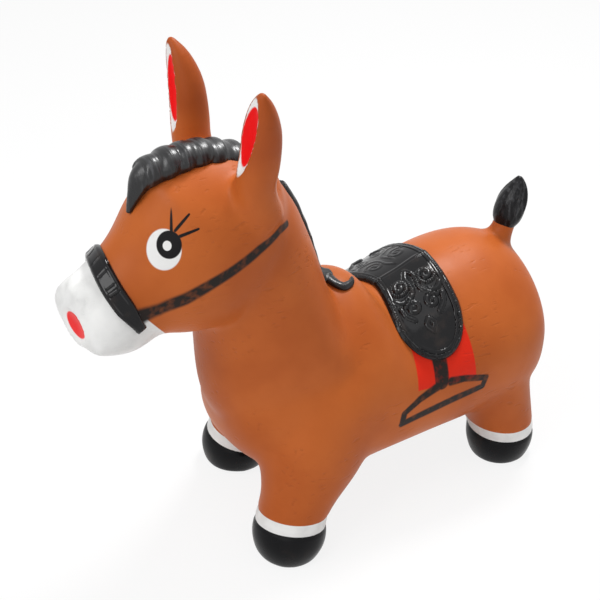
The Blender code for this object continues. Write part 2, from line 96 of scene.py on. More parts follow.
# Stations of a left leg and the left ear: x, y, z, half width, half depth
FRONT_LEG = [
    (0.052, -0.029, 0.145, 0.057, 0.073),
    (0.066, -0.058, 0.100, 0.050, 0.0615),
    (0.078, -0.081, 0.065, 0.041, 0.0435),
    (0.082, -0.092, 0.045, 0.0390, 0.0390),
    (0.085, -0.098, 0.022, 0.0425, 0.0425),
    (0.083, -0.102, -0.004, 0.034, 0.034),
]
REAR_LEG = [
    (0.050, 0.189, 0.145, 0.055, 0.066),
    (0.063, 0.204, 0.100, 0.050, 0.053),
    (0.074, 0.213, 0.065, 0.042, 0.042),
    (0.078, 0.216, 0.045, 0.0395, 0.0395),
    (0.0805, 0.2155, 0.022, 0.0415, 0.0415),
    (0.0800, 0.2145, -0.004, 0.034, 0.034),
]
EAR = [
    (0.052, -0.106, 0.405, 0.024, 0.024),
    (0.0593, -0.117, 0.445, 0.020, 0.021),
    (0.0651, -0.1155, 0.473, 0.020, 0.021),
    (0.071, -0.1155, 0.506, 0.0205, 0.0195),
    (0.0775, -0.1185, 0.531, 0.0165, 0.0142),
    (0.083, -0.122, 0.547, 0.0095, 0.008),
    (0.0855, -0.123, 0.556, 0.004, 0.0035),
]
RIGHT_FRONT_SETBACK = 0.035
SETBACK_TOP, SETBACK_FULL = 0.150, 0.050
BELLY_SQUARENESS = 2.7
BACK_SQUARENESS = 1.75
JAW_SQUARENESS = 2.4
NOSE_SQUARENESS = 1.85
SKIN_VOXEL = 0.0025
SKIN_ROUNDS = 64

# Where the paint or the bending changes
HOOF_TOP, BAND_TOP, SHANK_TOP = 0.036, 0.048, 0.061
HOOF_GROOVE_DEPTH, BAND_GROOVE_DEPTH, GROOVE_HALF_WIDTH = 0.0011, 0.0007, 0.004
FRONT_LEAN = Vector((-0.135, 0.245, 1.0)).normalized()
REAR_LEAN = Vector((0.030, 0.060, 1.0)).normalized()
REAR_SHANK_LEAN = Vector((-0.139, 0.0, 0.990))
EAR_ROOT_LOW = Vector((0.0616, -0.1141, 0.457))
EAR_AXIS = Vector((0.21, 0.0, 0.978))
TAIL_ROOT_LOW = Vector((0.0, 0.2670, 0.2590))
TAIL_ROOT_HIGH = Vector((0.0, 0.2725, 0.2720))
TAIL_AXIS = Vector((0.0, 0.40, 0.917))
TAIL_CORE = Vector((0.0, 0.277, 0.285))
BODY_MIDDLE = Vector((0.0, 0.08, 0.16))

# How far from its middle a cut across the skin reaches
HOOF_REACH, SHANK_REACH, EAR_ROOT_REACH, TAIL_ROOT_REACH = 0.060, 0.070, 0.032, 0.030

# Where the white of the muzzle and the chin begins: a point and a direction forward
MUZZLE_CUT = Vector((0.0, -0.2425, 0.338))
MUZZLE_AXIS = Vector((0.0, -0.94, -0.34)).normalized()
CHIN_LINE = Vector((0.0, -0.235, 0.335)), Vector((0.0, -0.791, -0.611)).normalized()

# Hollow of the left ear, and how far each ear is turned
EAR_HOLLOW = Vector((0.0725, -0.1165, 0.506))
EAR_LEAN = Vector((0.226, -0.067, 0.972)).normalized()
EAR_TURNS = {1: math.radians(-13), -1: math.radians(-6)}
EAR_HOLLOW_HALF_WIDTH, EAR_HOLLOW_HALF_LENGTH, EAR_HOLLOW_DEPTH = 0.0120, 0.043, 0.010
EAR_REACH = 0.06

MOUTH = Vector((0.0055, -0.2867, 0.3250))
MOUTH_HALF_WIDTH, MOUTH_HALF_HEIGHT = 0.0205, 0.0135
MOUTH_TURN = math.radians(10)
MOUTH_DEPTH = 0.0022
LIP_RISE, LIP_OUTSIDE, LIP_HALF_WIDTH = 0.0030, 0.0062, 0.0034
MUZZLE_FRONT_Y = -0.262
NOSTRIL, NOSTRIL_RADIUS, NOSTRIL_DEPTH = Vector((0.0175, -0.286, 0.352)), 0.0080, 0.0030
NOSTRIL_RIM, RIM_RADIUS, RIM_RISE = Vector((0.019, -0.278, 0.364)), 0.013, 0.0020
LIP_CLEFT = Vector((0.0, -0.283, 0.361))
CLEFT_HALF_WIDTH, CLEFT_HALF_HEIGHT, CLEFT_DEPTH = 0.005, 0.012, 0.0014
CLEFT_BACK_Y = -0.25
EYE = Vector((0.0452, -0.2108, 0.4022))
EYE_ACROSS = Vector((0.596, 0.803, 0.030)).normalized()
EYE_UP = Vector((-0.328, 0.253, 0.909)).normalized()
VALVE, VALVE_RECESS_RADIUS, VALVE_RECESS_DEPTH = Vector((0.0, 0.128, 0.0585)), 0.0115, 0.012


def add_object(name, mesh):
    piece = bpy.data.objects.new(name, mesh)
    bpy.context.collection.objects.link(piece)
    return piece


def mesh_from(bm, name):
    mesh = bpy.data.meshes.new(name)
    bm.to_mesh(mesh)
    bm.free()
    return mesh


def bmesh_from(mesh):
    bm = bmesh.new()
    bm.from_mesh(mesh)
    return bm


def baked(piece):
    """The piece's mesh with its modifiers worked in; the piece itself goes."""
    graph = bpy.context.evaluated_depsgraph_get()
    mesh = bpy.data.meshes.new_from_object(piece.evaluated_get(graph))
    bpy.data.objects.remove(piece)
    return mesh


def moulded(bm, name, voxel, rounds):
    """Join overlapping closed forms into one smooth closed surface."""
    bmesh.ops.recalc_face_normals(bm, faces=bm.faces)
    piece = add_object(name, mesh_from(bm, name))
    join = piece.modifiers.new("join", "REMESH")
    join.mode = "VOXEL"
    join.voxel_size = voxel
    soften = piece.modifiers.new("soften", "SMOOTH")
    soften.factor = 0.5
    soften.iterations = rounds
    return baked(piece)


def bell(reach):
    """1 in the middle, falling smoothly to 0 at a reach of 1."""
    reach = min(max(reach, 0.0), 1.0)
    return 1 - reach * reach * (3 - 2 * reach)


def ridge(distance, half_width):
    """1 on a line, fading out within about two half widths."""
    return math.exp(-(distance / half_width) ** 2)


# Lofted forms

def smooth_stations(rows, steps):
    """Rows along a curve that passes through every station."""
    points = [Vector(row) for row in rows]
    ends = [2 * points[0] - points[1], *points, 2 * points[-1] - points[-2]]
    path = []
    for before, start, end, after in zip(ends, ends[1:], ends[2:], ends[3:]):
        for step in range(steps):
            t = step / steps
            path.append(0.5 * (
                2 * start
                + (end - before) * t
                + (2 * before - 5 * start + 4 * end - after) * t ** 2
                + (3 * start - before - 3 * end + after) * t ** 3
            ))
    path.append(points[-1])
    return path


def flattened(angle, below, above):
    """One point of a unit ring, with its own squareness below and above its middle."""
    across, along = math.cos(angle), math.sin(angle)
    power = 2 / (above if along >= 0 else below)
    return math.copysign(abs(across) ** power, across), math.copysign(abs(along) ** power, along)


def ring_edges(ring):
    members = set(ring)
    edges = {edge for vertex in ring for edge in vertex.link_edges}
    return [edge for edge in edges if members.issuperset(edge.verts)]


def add_tube(bm, rows, top, below=2.0, above=2.0, segments=48, steps=6):
    """Loft rings of x, y, z, half width, half depth towards the top side and half depth away from it."""
    path = smooth_stations(rows, steps)
    rings = []
    for index, row in enumerate(path):
        before = path[max(index - 1, 0)]
        after = path[min(index + 1, len(path) - 1)]
        along = (Vector(after[:3]) - Vector(before[:3])).normalized()
        rise = (top - along * top.dot(along)).normalized()
        side = rise.cross(along)
        ring = bmesh.ops.create_circle(bm, segments=segments, radius=1.0)["verts"]
        for vertex in ring:
            across, height = flattened(math.atan2(vertex.co.y, vertex.co.x), below, above)
            half = row[4] if height >= 0 else row[5]
            vertex.co = Vector(row[:3]) + side * (across * row[3]) + rise * (height * half)
        rings.append(ring)
    for first, second in zip(rings, rings[1:]):
        bmesh.ops.bridge_loops(bm, edges=ring_edges(first) + ring_edges(second))
    for ring in (rings[0], rings[-1]):
        bmesh.ops.contextual_create(bm, geom=ring)


def mid_rows(rows):
    return [(0.0, *row) for row in rows]


def side_rows(rows, side, setback=0.0):
    """A left-hand form, or its mirror, with a setback that grows downwards."""
    out = []
    for x, y, z, half_width, half_depth in rows:
        share = (SETBACK_TOP - z) / (SETBACK_TOP - SETBACK_FULL)
        back = setback * min(max(share, 0.0), 1.0)
        out.append((side * x, y + back, z, half_width, half_depth, half_depth))
    return out


LEGS = {
    "front_left": side_rows(FRONT_LEG, 1),
    "front_right": side_rows(FRONT_LEG, -1, RIGHT_FRONT_SETBACK),
    "rear_left": side_rows(REAR_LEG, 1),
    "rear_right": side_rows(REAR_LEG, -1),
}
SIDES = {"left": 1, "right": -1}


def leg_axis_at(rows, height):
    """The point of a leg's middle line at a height."""
    path = smooth_stations(rows, 6)
    for upper, lower in zip(path, path[1:]):
        if upper[2] >= height >= lower[2]:
            share = (upper[2] - height) / (upper[2] - lower[2])
            return Vector(upper[:3]).lerp(Vector(lower[:3]), share)
    return Vector(path[-1][:3])


def mirrored(point, side):
    return Vector((point[0] * side, point[1], point[2]))


def leg_lean(leg, rear_lean=REAR_LEAN):
    """Which way a leg's cuts face upwards."""
    end, word = leg.split("_")
    return mirrored(FRONT_LEAN if end == "front" else rear_lean, SIDES[word])


# The skin

def press(bm, centre, radius, depth):
    """Push a round dimple into the skin."""
    for vertex in bm.verts:
        reach = (vertex.co - centre).length / radius
        if reach < 1:
            vertex.co -= vertex.normal * depth * bell(reach)
    bm.normal_update()


def shape_mouth(bm):
    """A hollow mouth inside a raised lip, on the blunt front of the muzzle."""
    for vertex in bm.verts:
        if vertex.co.y > MUZZLE_FRONT_Y:
            continue
        offset = vertex.co - MOUTH
        across = offset.x * math.cos(MOUTH_TURN) + offset.z * math.sin(MOUTH_TURN)
        height = offset.z * math.cos(MOUTH_TURN) - offset.x * math.sin(MOUTH_TURN)
        reach = max(math.hypot(across / MOUTH_HALF_WIDTH, height / MOUTH_HALF_HEIGHT), 1e-4)
        outside = math.hypot(across, height) * (1 - 1 / reach)
        lip = LIP_RISE * ridge(outside - LIP_OUTSIDE, LIP_HALF_WIDTH)
        hollow = MOUTH_DEPTH * bell(reach / 1.1)
        vertex.co += vertex.normal * (lip - hollow)
    bm.normal_update()


def part_lip(bm):
    """A short upright cleft over the mouth."""
    for vertex in bm.verts:
        if vertex.co.y < CLEFT_BACK_Y:
            offset = vertex.co - LIP_CLEFT
            share = bell(abs(offset.x) / CLEFT_HALF_WIDTH) * bell(abs(offset.z) / CLEFT_HALF_HEIGHT)
            vertex.co -= vertex.normal * CLEFT_DEPTH * share
    bm.normal_update()


def ear_axes(side):
    """An ear's directions: across its hollow, out of it and along it."""
    along = mirrored(EAR_LEAN, side)
    turn = EAR_TURNS[side]
    facing = Vector((math.sin(turn), -math.cos(turn), 0.0))
    facing = (facing - along * facing.dot(along)).normalized()
    return along.cross(facing), facing, along


def hollow_ears(bm):
    """Scoop the front of each ear."""
    for side in SIDES.values():
        centre = mirrored(EAR_HOLLOW, side)
        across, facing, along = ear_axes(side)
        for vertex in bm.verts:
            offset = vertex.co - centre
            if offset.length > EAR_REACH or vertex.normal.dot(facing) < -0.15:
                continue
            reach = math.hypot(
                offset.dot(along) / EAR_HOLLOW_HALF_LENGTH,
                offset.dot(across) / EAR_HOLLOW_HALF_WIDTH,
            )
            if reach < 1:
                vertex.co -= facing * EAR_HOLLOW_DEPTH * (1 - reach ** 2) ** 0.8
    bm.normal_update()


def groove_hooves(bm):
    """Fine mould lines round each leg, below and above its band."""
    for leg, rows in LEGS.items():
        lean = leg_lean(leg)
        for height, depth in ((HOOF_TOP, HOOF_GROOVE_DEPTH), (BAND_TOP, BAND_GROOVE_DEPTH)):
            centre = leg_axis_at(rows, height)
            for vertex in bm.verts:
                offset = vertex.co - centre
                reach = abs(offset.dot(lean)) / GROOVE_HALF_WIDTH
                if reach < 1 and offset.length < HOOF_REACH:
                    vertex.co -= vertex.normal * depth * bell(reach)
    bm.normal_update()


def skin_form():
    """The whole skin as one smooth closed mesh, with flat soles."""
    bm = bmesh.new()
    add_tube(bm, mid_rows(TORSO), UP, BELLY_SQUARENESS, BACK_SQUARENESS)
    add_tube(bm, mid_rows(HEAD), UP, JAW_SQUARENESS, NOSE_SQUARENESS)
    for rows in (NECK, TAIL):
        add_tube(bm, mid_rows(rows), FRONT)
    for rows in LEGS.values():
        add_tube(bm, rows, FRONT)
    for side in SIDES.values():
        add_tube(bm, side_rows(EAR, side), FRONT)
    bm = bmesh_from(moulded(bm, "skin", SKIN_VOXEL, SKIN_ROUNDS))
    bm.normal_update()
    shape_mouth(bm)
    for side in SIDES.values():
        press(bm, mirrored(NOSTRIL_RIM, side), RIM_RADIUS, -RIM_RISE)
        press(bm, mirrored(NOSTRIL, side), NOSTRIL_RADIUS, NOSTRIL_DEPTH)
    part_lip(bm)
    hollow_ears(bm)
    groove_hooves(bm)
    press(bm, VALVE, VALVE_RECESS_RADIUS, VALVE_RECESS_DEPTH)
    geometry = bm.verts[:] + bm.edges[:] + bm.faces[:]
    bmesh.ops.bisect_plane(bm, geom=geometry, plane_co=(0, 0, 0), plane_no=UP, clear_inner=True)
    bmesh.ops.holes_fill(bm, edges=[edge for edge in bm.edges if edge.is_boundary], sides=0)
    bmesh.ops.recalc_face_normals(bm, faces=bm.faces)
    bm.normal_update()
    return bm


def cut_across(bm, centre, normal, reach):
    """Part the skin along a plane, only near one point."""
    faces = [face for face in bm.faces if (face.calc_center_median() - centre).length < reach]
    edges = {edge for face in faces for edge in face.edges}
    verts = {vertex for face in faces for vertex in face.verts}
    cut = bmesh.ops.bisect_plane(
        bm, geom=[*verts, *edges, *faces], plane_co=centre, plane_no=normal, dist=1e-6
    )["geom_cut"]
    seam = [item for item in cut if isinstance(item, bmesh.types.BMEdge)]
    bmesh.ops.split_edges(bm, edges=seam)


def connected_zones(bm):
    """Lists of faces that hang together."""
    bm.faces.ensure_lookup_table()
    seen, zones = set(), []
    for start in bm.faces:
        if start in seen:
            continue
        seen.add(start)
        zone, open_faces = [], [start]
        while open_faces:
            face = open_faces.pop()
            zone.append(face)
            for edge in face.edges:
                for other in edge.link_faces:
                    if other not in seen:
                        seen.add(other)
                        open_faces.append(other)
        zones.append(zone)
    return zones


def zone_seeds():
    """A point inside each zone of the skin."""
    seeds = {"body_skin": BODY_MIDDLE}
    for leg, rows in LEGS.items():
        seeds["leg_shank_" + leg] = leg_axis_at(rows, (SHANK_TOP + BAND_TOP) / 2)
        seeds["hoof_band_" + leg] = leg_axis_at(rows, (BAND_TOP + HOOF_TOP) / 2)
        seeds["hoof_" + leg] = leg_axis_at(rows, HOOF_TOP / 2)
    for name, side in SIDES.items():
        seeds["ear_" + name] = mirrored(EAR_HOLLOW, side)
    seeds["tail_stub"] = (TAIL_ROOT_LOW + TAIL_ROOT_HIGH) / 2
    seeds["tail_core"] = TAIL_CORE
    return seeds


def skin_zones(bm):
    """The skin parted into closed pieces that meet without a gap and shade as one surface."""
    layer = bm.verts.layers.float_vector.new("whole_normal")
    for vertex in bm.verts:
        vertex[layer] = vertex.normal
    for leg, rows in LEGS.items():
        cut_across(bm, leg_axis_at(rows, SHANK_TOP), leg_lean(leg, REAR_SHANK_LEAN), SHANK_REACH)
        for height in (BAND_TOP, HOOF_TOP):
            cut_across(bm, leg_axis_at(rows, height), leg_lean(leg), HOOF_REACH)
    for side in SIDES.values():
        cut_across(bm, mirrored(EAR_ROOT_LOW, side), mirrored(EAR_AXIS, side), EAR_ROOT_REACH)
    for spot in (TAIL_ROOT_LOW, TAIL_ROOT_HIGH):
        cut_across(bm, spot, TAIL_AXIS, TAIL_ROOT_REACH)
    whole = mesh_from(bm, "whole")
    bm = bmesh_from(whole)
    seeds = zone_seeds()
    pieces = {}
    for zone in connected_zones(bm):
        middle = Vector((0, 0, 0))
        for face in zone:
            middle += face.calc_center_median()
        middle /= len(zone)
        name = min(seeds, key=lambda seed: (seeds[seed] - middle).length)
        pieces[name] = {face.index for face in zone}
    bm.free()
    return {name: closed_zone(whole, name, keep) for name, keep in pieces.items()}


def closed_zone(whole, name, keep):
    """One zone of the skin, capped where it was cut, with the shading of the whole."""
    bm = bmesh_from(whole)
    drop = [face for face in bm.faces if face.index not in keep]
    bmesh.ops.delete(bm, geom=drop, context="FACES")
    bmesh.ops.holes_fill(bm, edges=[edge for edge in bm.edges if edge.is_boundary], sides=0)
    bmesh.ops.recalc_face_normals(bm, faces=bm.faces)
    layer = bm.verts.layers.float_vector["whole_normal"]
    normals = [vertex[layer].normalized() for vertex in bm.verts]
    piece = add_object(name, mesh_from(bm, name))
    shade(piece)
    piece.data.normals_split_custom_set_from_vertices(normals)
    piece.data.attributes.remove(piece.data.attributes["whole_normal"])
    return piece


def shade(piece):
    piece.data.polygons.foreach_set("use_smooth", [True] * len(piece.data.polygons))
    keep_rest_place(piece)


def keep_rest_place(piece):
    """Where each point sits at rest, so that paint stays on a piece that bends."""
    place = piece.data.attributes.new("rest_place", "FLOAT_VECTOR", "POINT")
    for vertex, spot in zip(piece.data.vertices, place.data):
        spot.vector = vertex.co


# Raised hair

# Stations of the forelock and the mane: y, z, half width, thickness
FORELOCK = [
    (-0.2225, 0.4245, 0.0025, 0.0030),
    (-0.2155, 0.4410, 0.0065, 0.0075),
    (-0.2040, 0.4575, 0.014, 0.0145),
    (-0.1830, 0.464, 0.018, 0.016),
    (-0.1500, 0.466, 0.019, 0.014),
    (-0.1220, 0.4605, 0.020, 0.0125),
    (-0.0980, 0.4500, 0.019, 0.011),
    (-0.0760, 0.436, 0.014, 0.009),
]
CREST = [
    (-0.047, 0.408, 0.010, 0.006),
    (-0.034, 0.370, 0.012, 0.006),
    (-0.020, 0.330, 0.013, 0.006),
    (-0.006, 0.296, 0.015, 0.006),
    (0.006, 0.278, 0.012, 0.006),
    (0.014, 0.272, 0.006, 0.004),
]
# Stations of the mane's hooked end: x, y, z, half width
MANE_HOOK = [
    (0.000, -0.006, 0.295, 0.0070),
    (0.002, 0.001, 0.281, 0.0080),
    (0.006, 0.006, 0.272, 0.0080),
    (0.015, 0.008, 0.269, 0.0072),
    (0.0225, 0.0135, 0.265, 0.0056),
    (0.0205, 0.0225, 0.265, 0.0040),
    (0.0150, 0.0265, 0.267, 0.0016),
]
# Stations of the tail's tuft: y, z, radius
TUFT = [
    (0.2680, 0.2610, 0.0135),
    (0.2715, 0.2715, 0.0188),
    (0.2765, 0.2855, 0.0196),
    (0.2812, 0.2990, 0.0155),
    (0.2848, 0.3105, 0.0095),
    (0.2870, 0.3200, 0.0030),
]
HAIR_VOXEL = 0.0013
NAPE = Vector((0, 0.7, 0.7))

# Folds across the forelock: a step along its smooth stations, and the fold's half depth.
# Each fold goes on for some degrees below the forelock's sides.
FORELOCK_FOLDS = [(19, 0.0098), (25, 0.0086), (29, 0.0080), (33, 0.0092), (38, 0.0084), (44, 0.0090)]
FOLD_HALF_WIDTH, FOLD_SINK, FOLD_BACK, FOLD_LEAN = 0.0036, 0.0022, 0.003, 0.0052
FOLD_UNDER = 36

# A lock of the forelock's pointed end: share of its distance from the middle, y, z
FRINGE_LOCK = [
    (0.7, -0.192, 0.4715),
    (1.0, -0.2035, 0.4615),
    (0.6, -0.2140, 0.4445),
    (0.1, -0.2220, 0.4265),
]
TUFT_STRANDS = 8
TUFT_TWIST = 0.045


def add_lock(bm, points, top, half_width, half_depth):
    """One tapering lock of hair through the given points."""
    count = len(points) - 1
    rows = []
    for index, point in enumerate(points):
        share = math.sin(math.pi * (0.22 + 0.70 * index / count))
        rows.append((*point, half_width * share, half_depth * share, half_depth * share))
    add_tube(bm, rows, top, segments=16, steps=4)


def add_fold(bm, station, half_depth):
    """A round fold of hair over the forelock from side to side; its ends lean forward and thin out."""
    y, z, width, thick = station
    rows = []
    for turn in range(-FOLD_UNDER, 181 + FOLD_UNDER, 18):
        across = math.cos(math.radians(turn)) * (width - FOLD_SINK)
        height = math.sin(math.radians(turn)) * (thick - FOLD_SINK)
        fall = 1 - math.sin(math.radians(turn))
        slim = 1 - 0.35 * bell(min(turn + FOLD_UNDER, 180 + FOLD_UNDER - turn) / 40.0)
        place = across, y + FOLD_BACK - FOLD_LEAN * fall, z + height
        rows.append((*place, FOLD_HALF_WIDTH * slim, half_depth * slim, half_depth * slim))
    add_tube(bm, rows, FRONT, segments=20, steps=2)


def forelock_piece():
    """A rolled fringe over the brow: broad folds across it and a thin pointed end in front."""
    bm = bmesh.new()
    core = [(0.0, y, z, width * 0.94, thick * 0.93, thick) for y, z, width, thick in FORELOCK]
    add_tube(bm, core, FRONT)
    stations = smooth_stations(FORELOCK, 8)
    for step, half_depth in FORELOCK_FOLDS:
        add_fold(bm, stations[step], half_depth)
    for side in SIDES.values():
        for across in (0.0030, 0.0090):
            points = [(side * across * share, y, z) for share, y, z in FRINGE_LOCK]
            add_lock(bm, points, FRONT, 0.0046, 0.0042)
    return add_object("forelock_locks", moulded(bm, "forelock", HAIR_VOXEL, 5))


def crest_piece(skin_tree):
    """A low mane down the back of the neck that ends in a hooked lock on the left."""
    bm = bmesh.new()
    centres = []
    for y, z, width, thick in smooth_stations(CREST, 4):
        spot = skin_tree.find_nearest(Vector((0.0, y, z)))[0]
        centres.append((spot, width, thick))
    rows = [(*spot, width, thick, thick) for spot, width, thick in centres]
    add_tube(bm, rows, NAPE, segments=32, steps=2)
    for side in SIDES.values():
        for index in range(1, len(centres) - 4, 2):
            points = []
            for step in range(5):
                middle, width, _ = centres[min(index + step, len(centres) - 1)]
                across = side * width * (0.15 + 0.20 * step)
                spot, normal, _, _ = skin_tree.find_nearest(middle + Vector((across, 0, 0)))
                points.append(spot + normal * 0.0022)
            add_lock(bm, points, NAPE, 0.0052, 0.0036)
    hook = []
    for x, y, z, width in smooth_stations(MANE_HOOK, 4):
        spot, normal, _, _ = skin_tree.find_nearest(Vector((x, y, z)))
        hook.append((*(spot + normal * 0.0010), width, 0.0045, 0.0045))
    add_tube(bm, hook, Vector((0.2, 0.4, 0.9)), segments=24, steps=2)
    return add_object("crest_locks", moulded(bm, "crest", HAIR_VOXEL, 3))


def tuft_piece():
    """A leaf-shaped tuft of twisted locks at the end of the tail."""
    bm = bmesh.new()
    core = [(0.0, y, z, radius * 0.92, radius * 0.92, radius * 0.92) for y, z, radius in TUFT]
    add_tube(bm, core, FRONT, segments=32)
    stations = smooth_stations(TUFT, 4)
    for strand in range(TUFT_STRANDS):
        points = []
        for index in range(4, len(stations), 3):
            y, z, radius = stations[index]
            turn = strand * math.tau / TUFT_STRANDS + index * TUFT_TWIST
            points.append((math.cos(turn) * radius * 0.78, y + math.sin(turn) * radius * 0.74, z))
        add_lock(bm, points, FRONT, 0.0050, 0.0040)
    return add_object("tail_locks", moulded(bm, "tuft", HAIR_VOXEL, 2))


# Saddle and noseband

# The pad over the back; places along it are y, and a turn is the angle down a flank from the ridge
SADDLE_MIDDLE = 0.1095
SADDLE_HALF_LENGTH, SADDLE_TIP_HALF_LENGTH = 0.0412, 0.003
SADDLE_SHOULDER = math.radians(40)
SADDLE_REACH = math.radians(71.5)
SADDLE_WAIST, SADDLE_WAIST_REACH = 0.0085, math.radians(48)
SADDLE_RISE, SADDLE_ROUND, SADDLE_SINK, SADDLE_WALL = 0.0036, 0.0040, 0.0010, 0.0028
FLANK_PER_TURN = 0.102
BACK_AXIS_Z = 0.155

# How far the pad comes forward, and the degrees down each flank between which it does so
SADDLE_FORWARD = 0.0095
LEFT_SLANT, RIGHT_SLANT = (0, 50), (50, 68)

# Raised lines on the pad
STITCH_RISE, STITCH_INSET, STITCH_HALF_WIDTH, STITCH_RATE = 0.0012, 0.0036, 0.0012, 1900
WELT_RISE, WELT_INSET, WELT_HALF_WIDTH = 0.0010, 0.0078, 0.0009
RIDGE_RISE, RIDGE_HALF_WIDTH = 0.0012, 0.0018
SCROLL_RISE, SCROLL_HALF_WIDTH = 0.0024, 0.0017
SCROLL_INSET, SCROLL_FADE = 0.008, 0.003
FAINT_SHARE, FAINT_DOWN, FAINT_FADE = 0.72, 0.064, 0.010

# The band over the nose; a turn is the angle round the muzzle from its top
NOSEBAND_CENTRE = Vector((0.0, -0.2395, 0.339))
NOSEBAND_BOW, NOSEBAND_SLANT, SLANT_RATE = 0.0030, 0.0075, 1.45
NOSEBAND_HALF_WIDTH, TAPER_START, TAPER_LENGTH = 0.0088, 1.15, 0.55
NOSEBAND_REACH = math.radians(100)
NOSEBAND_RISE, NOSEBAND_ROUND, NOSEBAND_SINK, NOSEBAND_WALL = 0.0028, 0.0035, 0.0008, 0.0024
NOSE_PER_TURN, CHEEK_PER_TURN = 0.050, 0.045
HEM_RISE, HEM_INSET, HEM_HALF_WIDTH = 0.0008, 0.0024, 0.0010
LINK_INSET, LINK_FADE, LINK_GROOVE, LINK_RATE = 0.0030, 0.0015, 0.0014, 9
KEEPER_TURN, KEEPER_RISE, KEEPER_HALF_WIDTH = math.radians(47.5), 0.0015, 0.0011


def walled(name, bm, thickness):
    """A sheet given a wall on its inner side."""
    piece = add_object(name + "_relief", mesh_from(bm, name))
    wall = piece.modifiers.new("wall", "SOLIDIFY")
    wall.thickness = thickness
    wall.offset = -1
    return add_object(name + "_relief", baked(piece))


def saddle_middle(turn):
    """Where the pad's middle lies along the back; it comes forward down the flanks, lower on the right."""
    start, end = LEFT_SLANT if turn > 0 else RIGHT_SLANT
    share = (math.degrees(abs(turn)) - start) / (end - start)
    return SADDLE_MIDDLE - SADDLE_FORWARD * min(max(share, 0.0), 1.0)


def saddle_half_length(turn):
    """Half the pad's length along the back, at an angle down the flank."""
    share = (abs(turn) - SADDLE_SHOULDER) / (SADDLE_REACH - SADDLE_SHOULDER)
    share = min(max(share, 0.0), 1.0)
    return max(SADDLE_HALF_LENGTH * math.sqrt(1 - share ** 2), SADDLE_TIP_HALF_LENGTH)


def saddle_edge(along, turn):
    """How far a point of the pad lies inside its edge."""
    past = (abs(turn) - SADDLE_SHOULDER) * FLANK_PER_TURN
    if past <= 0:
        return SADDLE_HALF_LENGTH - abs(along)
    end = (SADDLE_REACH - SADDLE_SHOULDER) * FLANK_PER_TURN
    reach = math.hypot(along / SADDLE_HALF_LENGTH, past / end)
    return max(math.hypot(along, past) * (1 / reach - 1), 0.0)


def volute(centre, start, turns, radius, hand):
    """Points of a spiral that winds inwards."""
    points = []
    steps = int(turns * 26)
    for step in range(steps + 1):
        share = step / steps
        angle = start + hand * share * turns * math.tau
        size = radius * (1 - 0.86 * share)
        points.append(Vector((centre[0] + math.cos(angle) * size, centre[1] + math.sin(angle) * size, 0)))
    return points


def scroll_lines():
    """A plain scroll ornament for a flap: two pairs of volutes, stems, leaves and a drop.

    A point holds the distance along the back from the pad's middle and down the flank from its ridge.
    """
    lines = []
    for hand in (1, -1):
        outward = math.pi / 2 * (1 - hand)
        lines.append(volute((hand * 0.0185, 0.028), outward + 0.4 * hand, 1.5, 0.0120, hand))
        lines.append(volute((hand * 0.0125, 0.062), outward - 0.6 * hand, 1.3, 0.0092, -hand))
        rows = [
            [(0.0, 0.010), (hand * 0.006, 0.021), (hand * 0.005, 0.040), (hand * 0.015, 0.052)],
            [(hand * 0.031, 0.044), (hand * 0.023, 0.050), (hand * 0.009, 0.046)],
            [(hand * 0.027, 0.058), (hand * 0.024, 0.068), (hand * 0.016, 0.077)],
            [(0.0, 0.080), (hand * 0.0045, 0.087), (0.0, 0.096)],
        ]
        for row in rows:
            lines.append([Vector((*spot, 0)) for spot in smooth_stations(row, 8)])
    return lines


def scroll_finder():
    """A tree of the ornament's points, to tell how far a place is from its lines."""
    points = [point for line in scroll_lines() for point in line]
    ornament = KDTree(len(points))
    for index, point in enumerate(points):
        ornament.insert(point, index)
    ornament.balance()
    return ornament


def saddle_rise(along, turn, ornament):
    """How far the pad stands above the skin: round edge, stitches, welt, ridge and scroll.

    The scroll is fainter high on the right flap.
    """
    down = abs(turn) * FLANK_PER_TURN
    edge = saddle_edge(along, turn)
    rise = SADDLE_RISE * (1 - bell(edge / SADDLE_ROUND)) - SADDLE_SINK
    stitch = 0.55 + 0.45 * math.sin((down * 1.2 + along) * STITCH_RATE)
    rise += STITCH_RISE * stitch * ridge(edge - STITCH_INSET, STITCH_HALF_WIDTH)
    rise += WELT_RISE * ridge(edge - WELT_INSET, WELT_HALF_WIDTH)
    rise += RIDGE_RISE * ridge(down, RIDGE_HALF_WIDTH)
    inside = 1 - bell((edge - SCROLL_INSET) / SCROLL_FADE)
    if turn < 0:
        inside *= 1 - FAINT_SHARE * bell((down - FAINT_DOWN) / FAINT_FADE)
    _, _, gap = ornament.find(Vector((along, down, 0)))
    return rise + SCROLL_RISE * inside * ridge(gap, SCROLL_HALF_WIDTH)


def saddle_piece(skin_tree):
    """A raised pad over the back with a stitched edge and an embossed scroll on each flap."""
    ornament = scroll_finder()
    bm = bmesh.new()
    bmesh.ops.create_grid(bm, x_segments=112, y_segments=330, size=1.0)
    for vertex in bm.verts:
        turn = (1.2 * vertex.co.y - 0.2 * vertex.co.y ** 3) * SADDLE_REACH
        along = vertex.co.x * saddle_half_length(turn)
        narrow = SADDLE_WAIST * bell(abs(turn) / SADDLE_WAIST_REACH)
        waist = narrow * (0.5 - along / SADDLE_HALF_LENGTH / 2)
        start = Vector((0.0, saddle_middle(turn) + along + waist, BACK_AXIS_Z))
        outward = Vector((math.sin(turn), 0.0, math.cos(turn)))
        spot, normal, _, _ = skin_tree.ray_cast(start, outward)
        vertex.co = spot + normal * saddle_rise(along, turn, ornament)
    return walled("saddle", bm, SADDLE_WALL)


